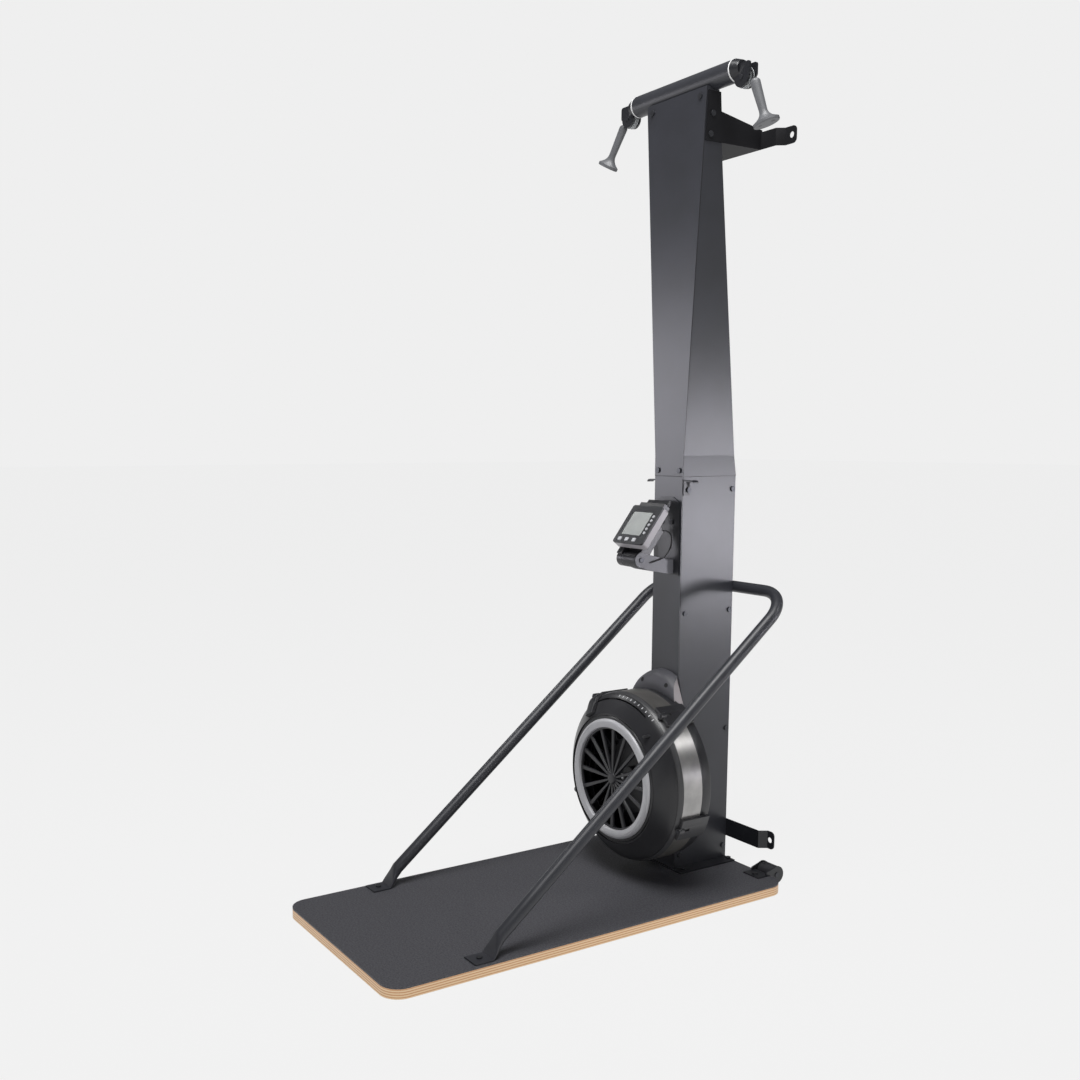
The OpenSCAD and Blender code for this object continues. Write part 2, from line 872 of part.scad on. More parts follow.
// Wavy end of a hook
function hook_wave(reach, top, t) =
  let (n = 16,
    start = reach * 0.45,
    end = reach,
    upper = [for (i = [0 : n])
      let (u = i / n)
        [start + (end - start) * u, top - 1.4 * sin(360 * u) - 4.5 * pow(u, 5)]],
    lower = [for (i = [n : -1 : 0]) upper[i] - [0, t]])
    concat(upper, lower);

// Crossbar and pulleys

module crossbar_tube() {
  color(powder_black)
    difference() {
      rod_x(crossbar_y, crossbar_z, crossbar_r, -crossbar_l / 2, crossbar_l / 2);
      rod_x(crossbar_y, crossbar_z, crossbar_in_r, -crossbar_l / 2 - 1, crossbar_l / 2 + 1);
      // Slot underneath for the cords and their redirect pulleys
      box([-carrier_slot_hl, crossbar_y - carrier_slot_hw, crossbar_z - crossbar_r - 1],
        [carrier_slot_hl, crossbar_y + carrier_slot_hw, crossbar_z - crossbar_in_r * 0.6]);
    }
}

module crossbar_rings() {
  color("white")
    both_sides()
      difference() {
        rod_x(crossbar_y, crossbar_z, ring_d / 2, crossbar_l / 2, crossbar_l / 2 + ring_t);
        rod_x(crossbar_y, crossbar_z, crossbar_in_r, crossbar_l / 2 - 1,
          crossbar_l / 2 + ring_t + 1);
      }
}

// Outline in x and z of a pulley cheek
module cheek_outline() {
  tip_low = end_pulley_z - 2;
  tip_high = end_pulley_z + cheek_rise;
  tip_w = cheek_reach + 14;
  translate([end_pulley_x, end_pulley_z])
    circle(r = cheek_r);
  translate([end_pulley_x + cheek_reach - tip_w / 2, (tip_low + tip_high) / 2])
    rounded_rect(tip_w, tip_high - tip_low, cheek_tip_r);
  polygon([
    [end_pulley_x + cheek_r * cos(60), end_pulley_z - cheek_r * sin(60)],
    [end_pulley_x + cheek_reach, tip_low + cheek_tip_r],
    [end_pulley_x, tip_low + cheek_tip_r]]);
}

module pulley_forks() {
  cap_x = crossbar_l / 2 + ring_t;
  color(plastic_black)
    both_sides()
      difference() {
        union() {
          translate([cap_x, crossbar_y, crossbar_z])
            rotate([0, 90, 0])
              cylinder(r1 = crossbar_r, r2 = cap_tip_r, h = cap_l);
          for (s = [-1, 1])
            translate([0, s * (fork_half + cheek_t / 2), 0])
              extrude_y(crossbar_y - cheek_t / 2, crossbar_y + cheek_t / 2)
                cheek_outline();
        }
        // Room for the pulley, the cord and the pin
        rod_y(end_pulley_x, end_pulley_z, end_pulley_r + 1.5,
          crossbar_y - fork_half, crossbar_y + fork_half);
        rod_x(crossbar_y, crossbar_z, cord_hole_r, cap_x - 1, cap_x + cap_l + 1);
        rod_y(end_pulley_x, end_pulley_z, pin_d / 2 + running_gap,
          crossbar_y - 40, crossbar_y + 40);
      }
}

// Grooved pulley about an axis along Y
module pulley(x, z, groove, rim) {
  w = pulley_w / 2;
  g = groove_w / 2;
  translate([x, crossbar_y, z])
    rotate([-90, 0, 0])
      rotate_extrude()
        polygon([
          [pin_d / 2 + running_gap, -w], [rim, -w], [rim, -g],
          [groove, -g / 3], [groove, g / 3], [rim, g], [rim, w],
          [pin_d / 2 + running_gap, w]]);
}

module right_end_pulley() {
  color("#d9dde0")
    pulley(end_pulley_x, end_pulley_z, end_groove_r, end_pulley_r);
}

module left_end_pulley() {
  color("#d9dde0")
    pulley(-end_pulley_x, end_pulley_z, end_groove_r, end_pulley_r);
}

module right_top_pulley() {
  color("#d9dde0")
    pulley(redirect_x, redirect_z, redirect_groove_r, redirect_r);
}

module left_top_pulley() {
  color("#d9dde0")
    pulley(-redirect_x, redirect_z, redirect_groove_r, redirect_r);
}

module top_pulley_carrier() {
  rear_room = top_rear - sheet_t - gap;
  color(powder_black)
    difference() {
      union() {
        box([-carrier_hw, side_front + sheet_t + gap, carrier_z],
          [carrier_hw, rear_room, carrier_z + carrier_t]);
        for (s = [-1, 1])
          translate([0, s * (carrier_cheek_in + carrier_cheek_t / 2), 0])
            box([-redirect_x - 12, crossbar_y - carrier_cheek_t / 2, carrier_z],
              [redirect_x + 12, crossbar_y + carrier_cheek_t / 2, redirect_z + 9]);
        both_sides()
          on_flare_strip();
      }
      both_sides() {
        rod_y(redirect_x, redirect_z, pin_d / 2 + running_gap,
          crossbar_y - 40, crossbar_y + 40);
        translate([redirect_x - redirect_run_r, crossbar_y, carrier_z - 1])
          cylinder(r = cord_hole_r, h = carrier_t + 2);
        translate([bungee_run_r, bungee_top_y, carrier_z - 1])
          cylinder(r = bungee_d / 2 + gap, h = carrier_t + 2);
      }
    }
}

// Upright end tab of the carrier, flat against the flared side sheet
module on_flare_strip() {
  low = (carrier_z - kink_z) / cos(flare_a);
  on_flare()
    translate([-sheet_t - gap - carrier_cheek_t, 0, low])
      box([0, side_front + sheet_t + gap, 0], [carrier_cheek_t, top_rear - sheet_t - gap, 26]);
}

// Handles and cords

// Half sizes of a handle's oval, by the distance s from its top
function grip_half(s, start, grip, waist, foot) =
  s < 8 ? start + (grip - start) * pow(sin(90 * s / 8), 0.8)
  : s < handle_l - 38 ? grip + (waist - grip) * (s - 8) / (handle_l - 46)
  : s < handle_l - 8 ? waist + (foot - waist) * pow((s - handle_l + 38) / 30, 2.6)
  : foot;
handle_stops = concat(
  [0, 1.5, 3.5, 8],
  [for (i = [1 : 3]) 8 + (handle_l - 46) * i / 3],
  [for (i = [1 : 6]) handle_l - 38 + 5 * i],
  [handle_l]);

module handle_solid(pitch, lean, turn) {
  n = 24;
  rings = len(handle_stops);
  pts = [for (s = handle_stops)
    let (a = grip_half(s, 7, grip_w / 2, grip_w * 0.4, handle_foot_w / 2),
      b = grip_half(s, 6, grip_d / 2, grip_d * 0.43, handle_foot_d / 2))
      each [for (j = [0 : n - 1]) [a * cos(360 * j / n), b * sin(360 * j / n), -s]]];
  translate([handle_top_x, crossbar_y, handle_top_z])
    rotate([pitch, 0, 0])
      rotate([0, -lean, 0])
        rotate([0, 0, turn])
          polyhedron(points = pts, faces = concat(
            [for (f = ring_faces(rings, n)) [f[2], f[1], f[0]]],
            [[for (j = [0 : n - 1]) j]],
            [[for (j = [n - 1 : -1 : 0]) (rings - 1) * n + j]]));
  translate([handle_cord_x, crossbar_y, handle_top_z - 8])
    cylinder(r = ferrule_r, h = ferrule_z - handle_top_z + 8);
}

module right_handle() {
  color(handle_grey)
    handle_solid(right_pitch, right_lean, right_turn);
}

module left_handle() {
  color(handle_grey)
    mirror([1, 0, 0])
      handle_solid(left_pitch, left_lean, left_turn);
}

module cord_lead() {
  translate([handle_cord_x, crossbar_y, ferrule_z])
    cylinder(r = cord_r, h = lead_l - gap);
}

module right_cord_lead() {
  color(plastic_black)
    cord_lead();
}

module left_cord_lead() {
  color(plastic_black)
    mirror([1, 0, 0])
      cord_lead();
}

// Route of one drive cord from its drum, over the redirect pulley to the end pulley
function cord_route(side, drum_y) = concat(
  [[side * drum_run_r, drum_y, fan_z]],
  [for (p = arc_points([redirect_x, crossbar_y, redirect_z], redirect_run_r, 180, 90, 6))
    [side * p[0], p[1], p[2]]],
  [for (p = arc_points([end_pulley_x, crossbar_y, end_pulley_z], end_run_r, 90, 0, 7))
    [side * p[0], p[1], p[2]]]);

module drive_cords() {
  color(plastic_black) {
    cord(cord_route(1, right_cord_y), cord_r, [0, 1, 0]);
    cord(cord_route(-1, left_cord_y), cord_r, [0, 1, 0]);
  }
}

module return_bungees() {
  color(rubber_black) {
    rod([-bungee_run_r, right_bungee_y, fan_z],
      [-bungee_run_r, bungee_top_y, carrier_z + carrier_t], bungee_d / 2);
    rod([bungee_run_r, left_bungee_y, fan_z],
      [bungee_run_r, bungee_top_y, carrier_z + carrier_t], bungee_d / 2);
    for (s = [-1, 1])
      translate([s * bungee_run_r, bungee_top_y, carrier_z + carrier_t])
        cylinder(r = bungee_knob_r, h = 8);
  }
}

// Drum of one side: d is +1 where its cord groove lies nearer the front
module cord_drum(d) {
  cord_half = cord_r + 2;
  bungee_half = bungee_d / 2 + 1.5;
  fan_revolve()
    polygon([for (p = [
      [clutch_r + running_gap, -21 - cord_half - 2], [drum_flange_r, -21 - cord_half - 2],
      [drum_flange_r, -21 - cord_half], [drum_groove_r, -21 - cord_half],
      [drum_groove_r, -21 + cord_half], [drum_flange_r, -21 + cord_half],
      [drum_flange_r, -9 - bungee_half], [bungee_groove_r, -9 - bungee_half],
      [bungee_groove_r, -9 + bungee_half], [drum_flange_r, -9 + bungee_half],
      [drum_flange_r, -1], [clutch_r + running_gap, -1]])
      [p[0], drum_mid_y + d * p[1]]]);
}

module right_cord_drum() {
  color(steel_grey)
    cord_drum(1);
}

module left_cord_drum() {
  color(steel_grey)
    cord_drum(-1);
}

module drum_clutches() {
  color("silver")
    for (d = [-1, 1])
      fan_revolve()
        ring_section(axle_r, clutch_r,
          drum_mid_y + min(d * 2, d * 26), drum_mid_y + max(d * 2, d * 26));
}

// Flywheel and axle

module flywheel_axle() {
  color("silver")
    union() {
      rod_y(0, fan_z, axle_r, axle_front_y, axle_rear_y);
      rod_y(0, fan_z, axle_r + 3, front_bearing_y + bearing_w + gap, drum_mid_y - 28);
      rod_y(0, fan_z, axle_r + 3, drum_mid_y + 28, rear_bearing_y - gap);
    }
}

module flywheel() {
  hub_r = 24;
  color("#3a3c40")
    translate([0, 0, fan_z])
      difference() {
        union() {
          translate([0, 0, -fan_z])
            rod_y(0, fan_z, hub_r, blade_front_y, blade_rear_y);
          translate([0, 0, -fan_z])
            rod_y(0, fan_z, disc_r, disc_y, disc_y + 8);
          for (i = [0 : blade_n - 1])
            rotate([0, 360 * i / blade_n, 0])
              box([disc_r - 45, blade_front_y, -blade_t / 2],
                [blade_r, blade_rear_y, blade_t / 2]);
        }
        translate([0, 0, -fan_z])
          rod_y(0, fan_z, axle_r, blade_front_y - 1, blade_rear_y + 1);
      }
}

module axle_bearings() {
  color("silver")
    for (y = [front_bearing_y, rear_bearing_y])
      fan_revolve()
        ring_section(axle_r + running_gap, bearing_r, y, y + bearing_w);
}

module axle_bracket() {
  low = fan_z - bracket_h / 2;
  high = fan_z + bracket_h / 2;
  rear_wall_y = rear_bearing_y + bearing_w - bracket_wall;
  boss_r = bearing_r + 6;
  color(steel_grey)
    difference() {
      union() {
        difference() {
          box([-bracket_hw, bracket_y, low], [bracket_hw, bracket_end, high]);
          box([-bracket_hw + bracket_wall, bracket_y + bracket_wall, low - 1],
            [bracket_hw - bracket_wall, bracket_end - bracket_wall, high + 1]);
        }
        box([-bracket_hw, rear_wall_y, low], [bracket_hw, rear_wall_y + bracket_wall, high]);
        rod_y(0, fan_z, boss_r, bracket_y, front_bearing_y + bearing_w);
        rod_y(0, fan_z, boss_r, rear_bearing_y, rear_bearing_y + bearing_w);
      }
      rod_y(0, fan_z, bearing_r, front_bearing_y, front_bearing_y + bearing_w + 1);
      rod_y(0, fan_z, bearing_r - 3, bracket_y - 1, front_bearing_y + 1);
      rod_y(0, fan_z, bearing_r, rear_bearing_y - 1, rear_bearing_y + bearing_w + 1);
      fan_mount_bores();
      rear_bores();
    }
}

// Fan casing

// Point of the front shell's cone at a radius, moved out by an offset
function cone_point(r, off) = [
  r + off * sin(cone_a),
  shoulder_y + (r - shoulder_r) * tan(cone_a) - off * cos(cone_a)];

// Point of the rounded rim: t runs from the crest to the band
function rim_point(t, off) =
  let (p0 = cone_point(crest_r, off),
    p1 = [fan_r + off, p0[1] + (fan_r + off - p0[0]) * tan(cone_a)],
    p2 = [fan_r + off, band_front_y])
    (1 - t) * (1 - t) * p0 + 2 * t * (1 - t) * p1 + t * t * p2;

module fan_front_shell() {
  groove_y = shoulder_y + 4;
  back_y = grill_y + grill_t;
  inner_r = shoulder_r + (back_y - shoulder_y) / tan(cone_a) - shell_t / sin(cone_a);
  color(plastic_black)
    difference() {
      union() {
        fan_revolve()
          polygon(concat(
            [for (t = [1 : -0.2 : 0]) rim_point(t, 0)],
            [cone_point(shoulder_r, 0),
            [shoulder_r - 1, groove_y], [shoulder_r - 5, groove_y],
            [shoulder_r - 7, shoulder_y + 0.5], [lip_r, shoulder_y + 0.5],
            [lip_r, back_y], [inner_r, back_y]],
            [for (t = [0 : 0.2 : 1]) rim_point(t, -shell_t)]));
        // Peg beside the dial
        rod_y(peg_r * cos(peg_a), fan_z + peg_r * sin(peg_a), 4.5,
          shoulder_y - 2.5, cone_point(peg_r, 0)[1] + 2);
      }
      // Track of the damper lever's stem
      fan_revolve(damper_a - damper_swing - 1.5, damper_a + 1.5)
        ring_section(slot_r - slot_hw, slot_r + slot_hw, shoulder_y, damper_ring_y - 1);
    }
}

module fan_trim_ring() {
  color("#d5d6d8")
    fan_revolve()
      polygon([
        [trim_bore_r, trim_y + 2.5], [trim_bore_r + 2.5, trim_y + 0.5],
        [trim_r - 7, trim_y], [trim_r - 2.5, trim_y + 1.5], [trim_r, trim_y + 5],
        [trim_r, trim_y + trim_t], [trim_bore_r, trim_y + trim_t]]);
}

module fan_grill() {
  color(plastic_black)
    union() {
      fan_revolve()
        ring_section(trim_bore_r - 5, trim_r, grill_y, grill_y + grill_t);
      rod_y(0, fan_z, grill_hub_r, grill_y - 4, grill_y + grill_t);
      translate([0, 0, fan_z])
        for (i = [0 : spoke_n - 1])
          rotate([0, 360 * i / spoke_n, 0])
            box([grill_hub_r - 1.5, grill_y, -spoke_w / 2],
              [trim_bore_r - 2, grill_y + grill_t, spoke_w / 2]);
    }
}

module fan_band() {
  color("#c9cbce")
    both_sides()
      fan_revolve(band_bottom_a, band_top_a)
        ring_section(fan_r - band_t, fan_r, band_front_y + gap, rear_rim_y - gap);
}

module fan_rear_shell() {
  edge = 0.4;
  color(plastic_black)
    difference() {
      union() {
        fan_revolve()
          polygon([
            [panel_axle_r, fan_rear_y - shell_t],
            [rear_rim_r - shell_t, fan_rear_y - shell_t],
            [rear_rim_r - shell_t, rear_rim_y + 5], [fan_r - shell_t, rear_rim_y + 2],
            [fan_r - shell_t, rear_rim_y], [fan_r, rear_rim_y], [fan_r, rear_rim_y + 2],
            [rear_rim_r, rear_rim_y + 5], [rear_rim_r, fan_rear_y],
            [panel_axle_r, fan_rear_y]]);
        fan_revolve(band_top_a + edge, 180 - band_top_a - edge)
          ring_section(fan_r - shell_t + 0.3, fan_r - 0.5, band_front_y + gap, rear_rim_y + 1);
        fan_revolve(180 - band_bottom_a + edge, 360 + band_bottom_a - edge)
          ring_section(fan_r - shell_t + 0.3, fan_r - 0.5, band_front_y + gap, rear_rim_y + 1);
        for (x = [-standoff_xz, standoff_xz])
          for (z = [-standoff_xz, standoff_xz])
            rod_y(x, fan_z + z, standoff_r, fan_rear_y - 1, column_front);
      }
      fan_mount_bores();
    }
}

module clamp_blocks() {
  color(plastic_black)
    for (a = clamp_angles)
      difference() {
        union() {
          fan_revolve(a - clamp_half_a, a + clamp_half_a)
            ring_section(fan_r + gap, clamp_out_r, band_front_y - 2, fan_rear_y - 8);
          rod_y(clamp_boss_at * cos(a), fan_z + clamp_boss_at * sin(a), clamp_boss_r,
            clamp_front_y, band_front_y + 8);
        }
        rod_y(clamp_boss_at * cos(a), fan_z + clamp_boss_at * sin(a), bolt_r + bolt_gap,
          clamp_front_y - 1, band_front_y + 30);
      }
}

module damper_lever() {
  knob_r = shoulder_r + 6;
  ring_mid_r = (damper_in_r + damper_out_r) / 2;
  knob_t = 0.6;
  color(plastic_black)
    union() {
      fan_revolve(damper_a - knob_half_a, damper_a + knob_half_a)
        polygon(concat(
          [cone_point(knob_r, 2 * gap)],
          [for (t = [0 : 0.2 : knob_t]) rim_point(t, 2 * gap)],
          [for (t = [knob_t : -0.2 : 0]) rim_point(t, knob_h)],
          [cone_point(knob_r, knob_h)]));
      fan_revolve(damper_a - 1, damper_a + 1)
        ring_section(slot_r - slot_hw + gap, slot_r + slot_hw - gap,
          crest_y - 1, damper_ring_y + 1);
      difference() {
        fan_revolve()
          ring_section(damper_in_r, damper_out_r, damper_ring_y, damper_ring_y + 3);
        for (i = [0 : 9])
          rod_y(ring_mid_r * cos(36 * i), fan_z + ring_mid_r * sin(36 * i),
            0.3 * (damper_out_r - damper_in_r),
            damper_ring_y - 1, damper_ring_y + 4);
      }
    }
}

// Outer points of the neck cover: u runs across, v from the fan's rim to the column
neck_nu = 14;
neck_nv = 4;
function neck_point(u, v, lift) =
  let (a = 90 - u * neck_half_a,
    r = rear_rim_r + gap + lift,
    rim = [r * cos(a), neck_rim_y, fan_z + r * sin(a)],
    top = [u * (neck_top_hw + lift - neck_t), column_front - gap,
      neck_top_z - neck_top_drop * u * u + lift - neck_t],
    bulge = neck_bulge * sin(180 * v) * (1 - u * u))
    rim + (top - rim) * v + [0, -bulge * 0.7, bulge * 0.7];
neck_n = 2 * (neck_nu + 1);
neck_rings = [
  for (j = [0 : neck_nv], i = [0 : neck_n - 1])
    i <= neck_nu ? neck_point(2 * i / neck_nu - 1, j / neck_nv, neck_t)
    : neck_point(2 * (neck_n - 1 - i) / neck_nu - 1, j / neck_nv, 0)];
neck_cap = [
  for (i = [0 : neck_nu - 1])
    each [[i, i + 1, neck_n - 2 - i], [i, neck_n - 2 - i, neck_n - 1 - i]]];
neck_faces = concat(
  [for (f = ring_faces(neck_nv + 1, neck_n)) [f[2], f[1], f[0]]],
  neck_cap,
  [for (f = neck_cap) [f[2], f[1], f[0]] + neck_nv * neck_n * [1, 1, 1]]);

// Side wing of the neck cover, from the sheet's edge round to the column's side
module neck_wing() {
  low_front = neck_point(1, 0, 0);
  high_front = neck_point(1, 1, 0);
  front = [column_hw + 1, column_front + 1, high_front[2]];
  back = [column_hw + 1, column_front + wing_back, wing_low_z];
  overlap = [-1.5, -1.2, 1.5];
  inner = [low_front + overlap, high_front + overlap, front, back];
  outer = [for (p = inner) p + [neck_t, 0, 0]];
  polyhedron(
    points = concat(inner, outer),
    faces = [
      [2, 1, 0], [3, 2, 0], [5, 6, 4], [6, 7, 4], [5, 4, 0], [1, 5, 0],
      [6, 5, 1], [2, 6, 1], [7, 6, 2], [3, 7, 2], [4, 7, 3], [0, 4, 3]]);
}

module neck_cover() {
  color(powder_black)
    difference() {
      union() {
        polyhedron(points = neck_rings, faces = neck_faces);
        both_sides()
          neck_wing();
      }
      rod_y(0, fan_z, rear_rim_r + gap / 2, neck_rim_y - 20, fan_rear_y + gap);
    }
}

// Monitor

// Mounting plate, yoke and the two arm plates that carry the monitor
module monitor_bracket() {
  color(steel_grey)
    difference() {
      union() {
        extrude_y(column_front - plate_t, column_front)
          polygon([
            [-plate_hw, plate_low_z], [plate_hw, plate_low_z],
            [plate_hw, plate_high_z - plate_chamfer],
            [plate_hw - 2 * plate_chamfer, plate_high_z],
            [-plate_hw + 2 * plate_chamfer, plate_high_z],
            [-plate_hw, plate_high_z - plate_chamfer]]);
        box([-arm_x - arm_t, yoke_y, arm_bottom_z],
          [arm_x + arm_t, column_front - plate_t, arm_top_z]);
        both_sides()
          extrude_x(arm_x, arm_x + arm_t) {
            translate([pivot_y, pivot_z])
              circle(r = arm_lug_r);
            polygon([
              [pivot_y + 4, pivot_z + arm_lug_r - 1], [yoke_y + 1, arm_top_z],
              [yoke_y + 1, arm_bottom_z], [pivot_y + 26, arm_bottom_z + 13],
              [pivot_y - 9, pivot_z - arm_lug_r + 4], [pivot_y, pivot_z]]);
          }
      }
      rod_x(pivot_y, pivot_z, pin_d / 2 + running_gap, -plate_hw, plate_hw);
      for (s = [-1, 1])
        rod_y(s * plate_bolt_x, plate_bolt_z, bolt_r + bolt_gap,
          column_front - 10, column_front + 1);
    }
}

// Button bores through the face, grown by a margin
module button_cuts(margin, y0, y1) {
  for (u = round_ups)
    rod_y(round_x, u, round_d / 2 + margin, y0, y1);
  for (x = square_xs)
    box([x - square_w / 2 - margin, y0, square_up - square_h / 2 - margin],
      [x + square_w / 2 + margin, y1, square_up + square_h / 2 + margin]);
}

module monitor_case() {
  pocket = 1.6;
  color("#2e3034")
    on_monitor()
      difference() {
        extrude_y(0, case_d)
          rounded_rect(face_w, face_h, face_corner_r);
        extrude_y(case_wall, case_d + 1)
          rounded_rect(face_w - 2 * case_wall, face_h - 2 * case_wall,
            face_corner_r - case_wall);
        box([screen_x - screen_w / 2 - 0.2, -1, screen_up - screen_h / 2 - 0.2],
          [screen_x + screen_w / 2 + 0.2, pocket, screen_up + screen_h / 2 + 0.2]);
        button_cuts(gap, -1, case_wall + 1);
      }
}

module monitor_screen() {
  color("#8f9a94")
    on_monitor()
      box([screen_x - screen_w / 2, 0.3, screen_up - screen_h / 2],
        [screen_x + screen_w / 2, 1.6, screen_up + screen_h / 2]);
}

module monitor_back() {
  inner_w = face_w - 2 * case_wall - 2 * gap;
  inner_h = face_h - 2 * case_wall - 2 * gap;
  color(plastic_black)
    on_monitor()
      difference() {
        union() {
          extrude_y(case_d - 3, case_d)
            rounded_rect(inner_w, inner_h, face_corner_r - case_wall - gap);
          box([-housing_w / 2, case_d - 1, housing_bottom],
            [housing_w / 2, housing_in, housing_top]);
          box([-housing_w / 2, pivot_in - 12, pivot_up],
            [housing_w / 2, pivot_in + 12, housing_bottom + 1]);
          rod_x(pivot_in, pivot_up, barrel_r, -housing_w / 2, housing_w / 2);
          // Clamp half outside the left arm plate
          rod_x(pivot_in, pivot_up, barrel_r, -clamp_x, -arm_x - arm_t - gap);
          box([-clamp_x, case_d, pivot_up], [-arm_x - arm_t - gap, pivot_in, housing_bottom]);
          box([-clamp_x, case_d - 1, housing_bottom - 5],
            [-arm_x - arm_t - gap, case_d + 1, housing_bottom]);
        }
        rod_x(pivot_in, pivot_up, pin_d / 2 + running_gap, -clamp_x - 1, housing_w);
        box([-housing_w / 2 + case_wall, case_d - 4, housing_bottom + case_wall],
          [housing_w / 2 - case_wall, housing_in - case_wall, housing_top - case_wall]);
      }
}

module round_button(i) {
  color("#c9ccd0")
    on_monitor()
      union() {
        rod_y(round_x, round_ups[i], round_d / 2, -button_out, button_in);
        rod_y(round_x, round_ups[i], round_d / 2 + button_flange,
          button_in - button_flange_t, button_in);
      }
}

module square_button(i) {
  color("#c9ccd0")
    on_monitor()
      union() {
        translate([square_xs[i], 0, square_up])
          extrude_y(-button_out, button_in)
            rounded_rect(square_w, square_h, 2);
        box([square_xs[i] - square_w / 2 - button_flange, button_in - button_flange_t,
            square_up - square_h / 2 - button_flange / 2],
          [square_xs[i] + square_w / 2 + button_flange, button_in,
            square_up + square_h / 2 + button_flange / 2]);
      }
}

module phone_cradle() {
  edge = face_h / 2 + gap;
  color(plastic_black)
    on_monitor()
      union() {
        box([-cradle_low_hw, 6, edge], [cradle_low_hw, 30, edge + cradle_low_h]);
        box([-cradle_high_hw, 20, edge + cradle_low_h - 1],
          [cradle_high_hw, 30, edge + cradle_high_h]);
        box([-runner_hw, case_d + gap, housing_top + 1],
          [runner_hw, case_d + gap + runner_t, edge + 1]);
      }
}

module monitor_cable() {
  color(rubber_black)
    cord(cable_points, cable_r, [1, 0, 0]);
}

// Handrail

// Frame at the handrail's right rear corner: y runs up along the leg, x to the right
module on_rail() {
  translate([rail_x, rail_bar_y, rail_bar_z])
    rotate([rail_a, 0, 0])
      children();
}

module handrail_leg() {
  foot_low = rail_foot_y - rail_foot_w / 2;
  foot_high = rail_foot_y + rail_foot_w / 2;
  difference() {
    union() {
      on_rail()
        translate([0, -rail_len + rail_loft_l, 0])
          rotate([-90, 0, 0])
            cylinder(r = rail_r, h = rail_len - rail_loft_l - rail_bend_r);
      hull() {
        on_rail()
          translate([0, -rail_len + rail_loft_l, 0])
            rotate([-90, 0, 0])
              cylinder(r = rail_r + 0.3, h = 1, $fn = 32);
        box([rail_x - rail_foot_w / 2, foot_high - 2, deck_z],
          [rail_x + rail_foot_w / 2, foot_high, deck_z + rail_foot_t + 1]);
      }
      box([rail_x - rail_foot_w / 2, foot_low, deck_z],
        [rail_x + rail_foot_w / 2, foot_high, deck_z + rail_foot_t]);
    }
    on_rail()
      translate([0, -rail_len + rail_loft_l + 4, 0])
        rotate([-90, 0, 0])
          cylinder(r = rail_r - rail_wall, h = rail_len);
    translate([rail_x, rail_foot_y, deck_z - 1])
      cylinder(r = bolt_r + bolt_gap, h = rail_foot_t + 2);
  }
}

module right_handrail_leg() {
  color(powder_black)
    handrail_leg();
}

module left_handrail_leg() {
  color(powder_black)
    mirror([1, 0, 0])
      handrail_leg();
}

module handrail_rear_bar() {
  straight = rail_x - rail_bend_r;
  color(powder_black)
    union() {
      difference() {
        rod_x(rail_bar_y, rail_bar_z, rail_r, -straight, straight);
        rod_x(rail_bar_y, rail_bar_z, rail_r - rail_wall, -straight - 1, straight + 1);
      }
      both_sides()
        on_rail()
          translate([-rail_bend_r, -rail_bend_r, 0])
            rotate_extrude(angle = 90)
              translate([rail_bend_r, 0])
                difference() {
                  circle(r = rail_r);
                  circle(r = rail_r - rail_wall);
                }
    }
}

// Wall brackets

// Wall ear: an outline in x and y that steps back, with a rounded end and a hole
module wall_ear(x0, rear, step, in_x, hole_x, z0, h) {
  end_x = hole_x + ear_lip;
  difference() {
    intersection() {
      translate([0, 0, z0])
        linear_extrude(height = h)
          polygon([
            [x0, rear - bracket_t], [in_x, rear - bracket_t],
            [in_x + ear_step_x, rear - bracket_t + step],
            [end_x, rear - bracket_t + step], [end_x, rear + step],
            [in_x + ear_step_x - 1, rear + step], [in_x - 1, rear], [x0, rear]]);
      extrude_y(rear - 20, rear + step + 20)
        union() {
          translate([x0 - 1, z0])
            square([end_x - ear_corner_r - x0 + 1, h]);
          translate([end_x - ear_corner_r * 2, z0 + h / 2])
            rounded_rect(ear_corner_r * 4, h, ear_corner_r);
        }
      box([x0 - 1, rear - 20, z0 - 1], [end_x, rear + step + 20, z0 + h + 1]);
    }
    rod_y(hole_x, z0 + h / 2, wall_hole_r, rear - 20, rear + step + 20);
  }
}

// Bolts through the upper bracket and the flared side: y and height over the bracket's edge
upper_side_bolts = [[column_front + 22.8, 68], [column_front + 18.8, 17]];
module upper_side_bores() {
  for (b = upper_side_bolts)
    on_flare()
      rod_x(b[0], upper_plate_low_s + b[1], bolt_r + bolt_gap, -20, 20);
}

module upper_wall_bracket() {
  plate_front = column_front + 5;
  s0 = upper_plate_low_s;
  base_x = upper_hw + (upper_bracket_z - kink_z) * tan(flare_a);
  column_edge = column_front + upper_top_d + 10;
  color(powder_black)
    difference() {
      union() {
        both_sides() {
          on_flare()
            extrude_x(gap, bracket_t + gap)
              polygon([
                [plate_front, s0], [upper_bracket_rear, s0],
                [upper_bracket_rear, s0 + upper_edge_rear_z - upper_bracket_z],
                [column_edge, s0 + upper_edge_front_z - upper_bracket_z],
                [column_edge - 6, s0 + upper_plate_top_z - upper_bracket_z],
                [plate_front, s0 + upper_plate_top_z - upper_bracket_z]]);
          wall_ear(base_x + 1, upper_bracket_rear, ear_step, ear_in_x, upper_hole_x,
            upper_bracket_z, upper_ear_h);
        }
        box([-base_x - 1, column_rear - upper_rear_lean() + 1, upper_bracket_z],
          [base_x + 1, upper_bracket_rear, upper_bracket_z + bracket_t]);
      }
      rod_x(crossbar_y, crossbar_z, crossbar_r + gap, -upper_top_w, upper_top_w);
      both_sides()
        upper_side_bores();
    }
}

// How far the upper column's rear has come forward at the bracket's lower edge
function upper_rear_lean() =
  (column_rear - top_rear) * (upper_bracket_z - seam_z) / upper_column_h;

